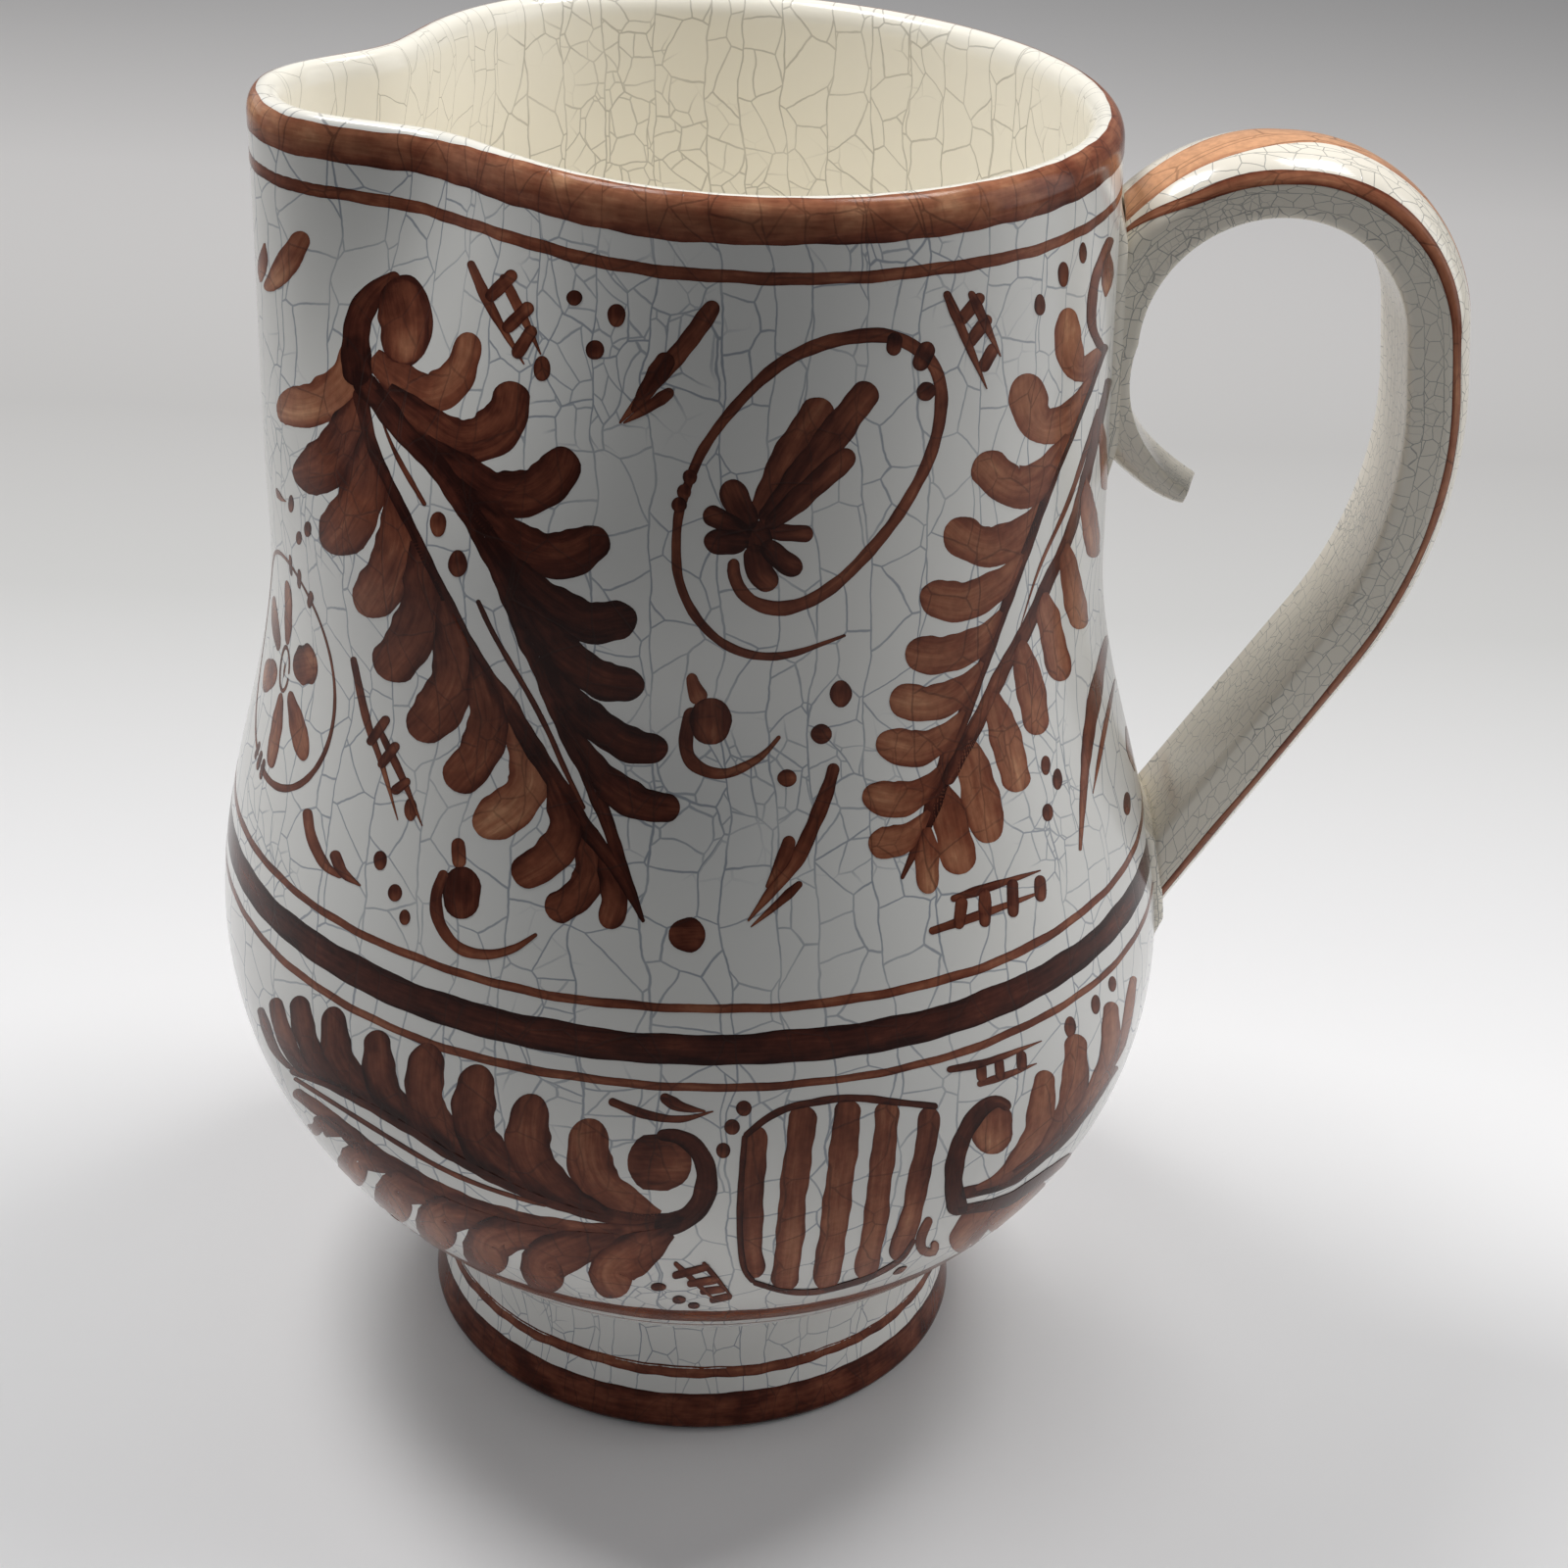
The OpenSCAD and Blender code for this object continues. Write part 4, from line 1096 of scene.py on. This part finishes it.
STRIPE_ACROSS = np.array([-1.0, -0.93, -0.6, -0.3, 0.0, 0.3, 0.6, 0.93, 1.0])
STRIPE_PROUD, STRIPE_SUNK = 0.05, 0.03
# Place of the crown on the strap's chart, and millimetres for a degree round the crown on the chart and in the flow
CROWN_CHART, CHART_PER_DEGREE, FLOW_PER_DEGREE = 30, 0.17, 0.15


def crown_line(turn, proud):
    """Section for strap_ring: points on the crown by their turns round it and their heights above it."""
    def section(w, edge, rise):
        shoulder, top = crown_shape(edge, rise)
        return np.stack([(w/2 + proud)*np.cos(turn), shoulder + (top + proud)*np.sin(turn)], 1)
    return section


def handle_stripes():
    skins = Skins()
    v = STRIPE_ACROSS
    painted = np.where(np.abs(v) == 1, -STRIPE_SUNK, STRIPE_PROUD)
    for index, (name, middle, half, first, shade, turned_front, fade_run) in enumerate(CROWN_STRIPES):
        used = [k for k, (kind, p) in enumerate(stations) if not (kind == "loop" and p > first)]
        length = strap_length[used] - strap_length[used[0]]
        swell = 1 + 0.09*np.sin(length/5 + index) + 0.05*np.sin(length/2.1)
        if name != "middle":
            swell *= np.clip(length/12, 0.05, 1)**0.7*(1 - 0.25*ease((length - 30)/30))
        else:
            swell *= 0.65 + 0.35*ease(length/18)
        drift = (1.5*np.sin(length/17 + 2*index) + 1.4*np.sin(length/6.5 + index)
                 + turned_front*(1 - ease(length/fade_run)))
        turns = np.radians(middle + drift[:, None] + half*swell[:, None]*v)
        base, upper, lower = [
            np.array([strap_ring(*stations[k], crown_line(turn, proud)) for k, turn in zip(used, turns)])
            for proud in (0*v, painted, 0*v - PAINT_SUNK)]
        out = base.mean(1, keepdims=True) - strap[used].mean(1)[:, None]
        flow = np.broadcast_arrays(length[:, None], v*half*FLOW_PER_DEGREE, 60.0 + index)
        chart_u = STRAP_CHART + CROWN_CHART + v*half*CHART_PER_DEGREE + middle*CHART_PER_DEGREE
        skins.add(upper, lower, outward(base, out),
                  tone=shade + 0.2*(1 - v**2) - 0.14*np.abs(v)**6 + 0*length[:, None], flow=np.stack(flow, -1),
                  chart=np.stack(np.broadcast_arrays(chart_u, length[:, None]), -1))
    return skins.piece("paint_handle")


handle_paint = handle_stripes()


# Materials

def srgb(r, g, b):
    """Linear colour of a colour as it shows on the screen, 0 to 255."""
    return tuple(((c/255 + 0.055)/1.055)**2.4 if c > 10 else c/255/12.92 for c in (r, g, b)) + (1.0,)


class Tree:
    """Short hand for building a node tree."""

    def __init__(self, tree):
        self.tree = tree

    def feed(self, socket, value):
        """Sets an input to a number or a colour, or links an output to it."""
        if isinstance(value, (int, float, tuple)):
            socket.default_value = value
        else:
            self.tree.links.new(value, socket)

    def add(self, kind, inputs=None, **settings):
        node = self.tree.nodes.new(kind)
        for key, value in settings.items():
            setattr(node, key, value)
        for key, value in (inputs or {}).items():
            self.feed(node.inputs[key], value)
        return node

    def math(self, operation, a, b):
        return self.add("ShaderNodeMath", {0: a, 1: b}, operation=operation).outputs[0]

    def vector(self, operation, a, b):
        return self.add("ShaderNodeVectorMath", {0: a, 1: b}, operation=operation).outputs[0]

    def noise(self, vector, scale, detail=3.0, rough=0.55, output=0):
        node = self.add("ShaderNodeTexNoise", {"Vector": vector, "Scale": scale, "Detail": detail, "Roughness": rough})
        return node.outputs[output]

    def remap(self, value, low, high, to_low=0.0, to_high=1.0, way="SMOOTHSTEP"):
        ends = {"From Min": low, "From Max": high, "To Min": to_low, "To Max": to_high}
        return self.add("ShaderNodeMapRange", {"Value": value, **ends}, interpolation_type=way).outputs["Result"]

    def mix(self, share, a, b, blend="MIX"):
        return self.add("ShaderNodeMix", {0: share, 6: a, 7: b}, data_type="RGBA", blend_type=blend).outputs[2]

    def ramp(self, value, stops):
        node = self.add("ShaderNodeValToRGB", {0: value})
        elements = node.color_ramp.elements
        while len(elements) < len(stops):
            elements.new(0.5)
        for element, (place, colour) in zip(elements, stops):
            element.position = place
            element.color = colour
        return node.outputs[0]


# Shift of the chart from cell to cell of the longer cracks, so that the shorter ones end on them
CELL_SHIFT = (90.0, 90.0, 0.0)


def crackle_group(name, column, cell, line, warp):
    """Lines of crackled glaze on a chart in millimetres: long cracks up the chart, shorter ones that end on them."""
    group = bpy.data.node_groups.new(name, "ShaderNodeTree")
    group.interface.new_socket("Chart", in_out="INPUT", socket_type="NodeSocketVector")
    group.interface.new_socket("Lines", in_out="OUTPUT", socket_type="NodeSocketFloat")
    t = Tree(group)
    source = t.add("NodeGroupInput").outputs["Chart"]
    place = source
    for scale, reach in ((0.045, warp), (0.3, 0.6)):
        sway = t.vector("SUBTRACT", t.noise(source, scale, 2.0, output="Color"), (0.5, 0.5, 0.5))
        place = t.vector("ADD", place, t.vector("MULTIPLY", sway, (reach, reach, 0.0)))
    total = None
    for size, share, dimensions in ((column, 1.0, "1D"), (cell, 0.95, "2D"), (cell*0.62, 0.8, "2D")):
        if dimensions == "1D":
            split = t.add("ShaderNodeSeparateXYZ", {0: place})
            spot = {"W": t.math("MULTIPLY", split.outputs["X"], 1/size)}
        else:
            spot = {"Vector": t.vector("MULTIPLY", place, (1/size, 1/size, 0.0))}
        edges, cells = [t.add("ShaderNodeTexVoronoi", {"Scale": 1.0, **spot}, voronoi_dimensions=dimensions,
                              feature=feature) for feature in ("DISTANCE_TO_EDGE", "F1")]
        lines = t.remap(edges.outputs["Distance"], 0.25*line/size, 0.75*line/size, share, 0.0)
        if size not in (column, cell):
            lines = t.math("MULTIPLY", lines, t.remap(t.noise(source, 0.03, 1.0), 0.57, 0.65))
        total = lines if total is None else t.math("MAXIMUM", total, lines)
        place = t.vector("ADD", place, t.vector("MULTIPLY", cells.outputs["Color"], CELL_SHIFT))
    fade = t.remap(t.noise(source, 0.06, 3.0), 0.3, 0.6, 0.55, 1.0)
    t.add("NodeGroupOutput", {"Lines": t.math("MULTIPLY", total, fade)})
    return group


wide_crackle = crackle_group("crackle_wide", 8.0, 7.8, 0.26, 8.0)
inner_crackle = crackle_group("crackle_inner", 8.0, 7.4, 0.15, 6.0)
fine_crackle = crackle_group("crackle_fine", 2.3, 2.1, 0.11, 1.6)


GLAZED = {"Roughness": 0.16, "IOR": 1.5}
INSIDE_LINE, SPECK = srgb(116, 108, 98), srgb(70, 55, 45)


def material(name, looks):
    m = bpy.data.materials.new(name)
    m.use_nodes = True
    m.node_tree.nodes.clear()
    t = Tree(m.node_tree)
    shader = t.add("ShaderNodeBsdfPrincipled", looks)
    t.add("ShaderNodeOutputMaterial", {"Surface": shader.outputs[0]})
    return m, t, shader


def attribute(t, name, output="Vector"):
    return t.add("ShaderNodeAttribute", attribute_name=name).outputs[output]


def crackle(t, group):
    node = t.add("ShaderNodeGroup", node_tree=group)
    t.feed(node.inputs["Chart"], attribute(t, "chart"))
    return node.outputs["Lines"]


def glaze_relief(t, shader, lines):
    """Uneven glaze: broad waves, orange peel and the faint dip of each crack."""
    spot = t.add("ShaderNodeTexCoord").outputs["Object"]
    waves, peel = t.noise(spot, 38.0, 2.0), t.noise(spot, 260.0, 2.0)
    height = t.math("ADD", t.math("MULTIPLY", waves, 0.9), t.math("MULTIPLY", peel, 0.10))
    height = t.math("SUBTRACT", height, t.math("MULTIPLY", lines, 0.05))
    bump = t.add("ShaderNodeBump", {"Strength": 0.12, "Distance": 0.002, "Height": height})
    t.feed(shader.inputs["Normal"], bump.outputs["Normal"])
    return spot


def glaze(name, outside_colour, inside_colour, line_colour, line_strength, group, inner_group=None):
    m, t, shader = material(name, GLAZED)
    lines = crackle(t, group)
    inside = attribute(t, "inner", "Fac")
    if inner_group:
        close = t.remap(t.noise(attribute(t, "chart"), 0.012, 1.0), 0.5, 0.56)
        inner_lines = crackle(t, inner_group)
        share = t.math("MULTIPLY", inside, close)
        lines = t.math("ADD", t.math("MULTIPLY", lines, t.math("SUBTRACT", 1.0, share)),
                       t.math("MULTIPLY", inner_lines, share))
    spot = glaze_relief(t, shader, lines)
    base = t.mix(inside, outside_colour, inside_colour)
    cloud = t.remap(t.noise(spot, 22.0, 4.0), 0.35, 0.7)
    base = t.mix(t.math("MULTIPLY", cloud, 0.16), base, tuple(0.86*c for c in inside_colour[:3]) + (1.0,))
    speck = t.add("ShaderNodeTexVoronoi", {"Vector": spot, "Scale": 130.0}, feature="F1")
    speck_size = t.math("MULTIPLY", t.remap(speck.outputs["Color"], 0.93, 1.0), 0.11)
    specks = t.math("LESS_THAN", speck.outputs["Distance"], speck_size)
    base = t.mix(t.math("MULTIPLY", specks, 0.75), base, SPECK)
    lines = t.math("MULTIPLY", lines, t.remap(inside, 0.0, 1.0, line_strength, 0.7*line_strength))
    base = t.mix(lines, base, t.mix(inside, line_colour, INSIDE_LINE))
    t.feed(shader.inputs["Base Color"], base)
    return m


white = glaze("glaze_white", srgb(227, 226, 222), srgb(245, 240, 227), srgb(104, 116, 134), 0.72, wide_crackle,
              inner_crackle)
cream = glaze("glaze_cream", srgb(243, 236, 221), srgb(243, 236, 221), srgb(95, 98, 100), 0.66, fine_crackle)


def iron_paint():
    m, t, shader = material("iron_brown", {**GLAZED, "Specular IOR Level": 0.12})
    lines = crackle(t, wide_crackle)
    spot = glaze_relief(t, shader, lines)
    flow = attribute(t, "flow")
    streaks = t.noise(t.vector("MULTIPLY", flow, (0.16, 1.6, 3.1)), 1.0, 4.0, 0.6)
    pools = t.noise(t.vector("MULTIPLY", flow, (0.14, 0.3, 5.3)), 1.0, 2.0)
    tone = attribute(t, "tone", "Fac")
    tone = t.math("ADD", tone, t.remap(streaks, 0.25, 0.75, -0.11, 0.11, "LINEAR"))
    tone = t.math("ADD", tone, t.remap(pools, 0.3, 0.7, -0.12, 0.12, "LINEAR"))
    colour = t.ramp(tone, [(0.0, srgb(44, 17, 12)), (0.25, srgb(82, 39, 28)), (0.5, srgb(126, 71, 51)),
                           (0.75, srgb(164, 108, 80)), (1.0, srgb(212, 160, 122))])
    grain = t.remap(t.noise(spot, 900.0, 2.0), 0.3, 0.7, 0.9, 1.1)
    colour = t.mix(1.0, colour, grain, "MULTIPLY")
    colour = t.mix(t.math("MULTIPLY", lines, 0.45), colour, srgb(50, 34, 30))
    t.feed(shader.inputs["Base Color"], colour)
    return m


brown = iron_paint()

painted_pieces = (bands, rim, foot_paint, neck_paint, belly_paint, handle_paint)
for piece, finish, slot in (
        (body, white, "white_glaze"), (foot, white, "white_glaze"), (foot_slip, white, "slip"),
        (handle, cream, "cream_glaze"), (neck_pad, cream, "slip"), (belly_pad, cream, "slip"),
        *((painted, brown, "brown_paint") for painted in painted_pieces)):
    piece.data.materials.append(finish)
    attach(piece, "root")

# Floor, light and camera

FLOOR_HALF, FLOOR_Z = 3000.0, -0.05
floor = add_mesh("floor", [(x*FLOOR_HALF, y*FLOOR_HALF, FLOOR_Z) for x, y in ((-1, -1), (1, -1), (1, 1), (-1, 1))],
                 [[0, 1, 2, 3]])
floor_finish, t, shader = material("floor_paper", {"Roughness": 0.6, "Specular IOR Level": 0.2})
# In front of the jug the paper is dark to diffuse light, so that it throws little of it back
light_path = t.add("ShaderNodeLightPath")
seen = t.math("MAXIMUM", light_path.outputs["Is Camera Ray"],
              t.math("MAXIMUM", light_path.outputs["Is Glossy Ray"], light_path.outputs["Is Transmission Ray"]))
spot = t.add("ShaderNodeSeparateXYZ", {0: t.add("ShaderNodeNewGeometry").outputs["Position"]})
ahead = spot.outputs["Y"]
lit_part = t.remap(ahead, -0.28, -0.10)
# The paper's colour changes with distance behind the jug: light near it, darker from about 0.2 to 0.4 m back, light
# again far off. This is painted light and shade for how the lamps' light falls across the floor, not a change in the
# paper.
paper = t.ramp(t.remap(ahead, -0.1, 0.9), [(0.05, srgb(240, 239, 239)), (0.12, srgb(230, 229, 229)),
                                           (0.31, srgb(207, 206, 204)), (0.5, srgb(204, 202, 200)),
                                           (0.85, srgb(238, 235, 233))])
t.feed(shader.inputs["Base Color"], t.mix(t.math("MAXIMUM", seen, lit_part), (0.12, 0.12, 0.12, 1.0), paper))
floor.data.materials.append(floor_finish)


def put(thing, axes, place):
    """Puts a lamp or the camera in the scene, by its three axes and its place."""
    thing.matrix_world = Matrix([[*row, c] for row, c in zip(np.stack(axes, 1), place)] + [[0, 0, 0, 1]])
    bpy.context.scene.collection.objects.link(thing)


def area_light(name, place, target, size, power):
    data = bpy.data.lights.new(name, "AREA")
    data.shape = "RECTANGLE"
    data.size, data.size_y = size
    data.energy = power
    lamp = bpy.data.objects.new(name, data)
    lamp.visible_camera = False
    z_axis = np.array(place, float) - np.array(target, float)
    z_axis /= np.linalg.norm(z_axis)
    x_axis = np.cross((0.0, 0.0, 1.0) if abs(z_axis[2]) < 0.98 else (0.0, 1.0, 0.0), z_axis)
    x_axis /= np.linalg.norm(x_axis)
    put(lamp, [x_axis, np.cross(z_axis, x_axis), z_axis], place)


# Name, place, target, size and power of each lamp; the glow inside stands for light caught between the bright walls
for lamp in (
        ("light_above_left", (-0.30, 0.12, 0.85), (0.0, 0.0, 0.0), (0.25, 0.25), 3.80),
        ("light_above_right", (0.32, 0.12, 0.85), (0.02, 0.0, 0.0), (0.25, 0.25), 3.25),
        ("light_left", (-0.85, 0.15, 0.40), (0.0, 0.0, 0.12), (0.5, 0.7), 0.50),
        ("light_right", (0.85, 0.10, 0.40), (0.0, 0.0, 0.12), (0.5, 0.7), 1.90),
        ("light_back_left", (-0.65, 0.65, 0.55), (0.0, 0.0, 0.12), (0.5, 0.7), 0.70),
        ("light_inside", (-0.002, 0.0, 0.075), (-0.002, 0.0, 0.2), (0.06, 0.06), 0.032)):
    area_light(*lamp)

WORLD_COLOUR, WORLD_STRENGTH = (0.93, 0.96, 1.0, 1.0), 0.178
world = bpy.data.worlds.new("studio")
world.use_nodes = True
background = world.node_tree.nodes["Background"]
background.inputs["Color"].default_value = WORLD_COLOUR
background.inputs["Strength"].default_value = WORLD_STRENGTH
bpy.context.scene.world = world
bpy.context.scene.view_settings.view_transform = "Standard"

camera_data = bpy.data.cameras.new("camera")
camera_data.sensor_width = 36.0
camera_data.lens = FOCAL_PX/FRAME_PX*camera_data.sensor_width
camera_data.clip_start, camera_data.clip_end = 0.01, 20.0
camera = bpy.data.objects.new("camera", camera_data)
put(camera, [right_way, up_way, -forward], CAMERA_AT*MM)
bpy.context.scene.camera = camera
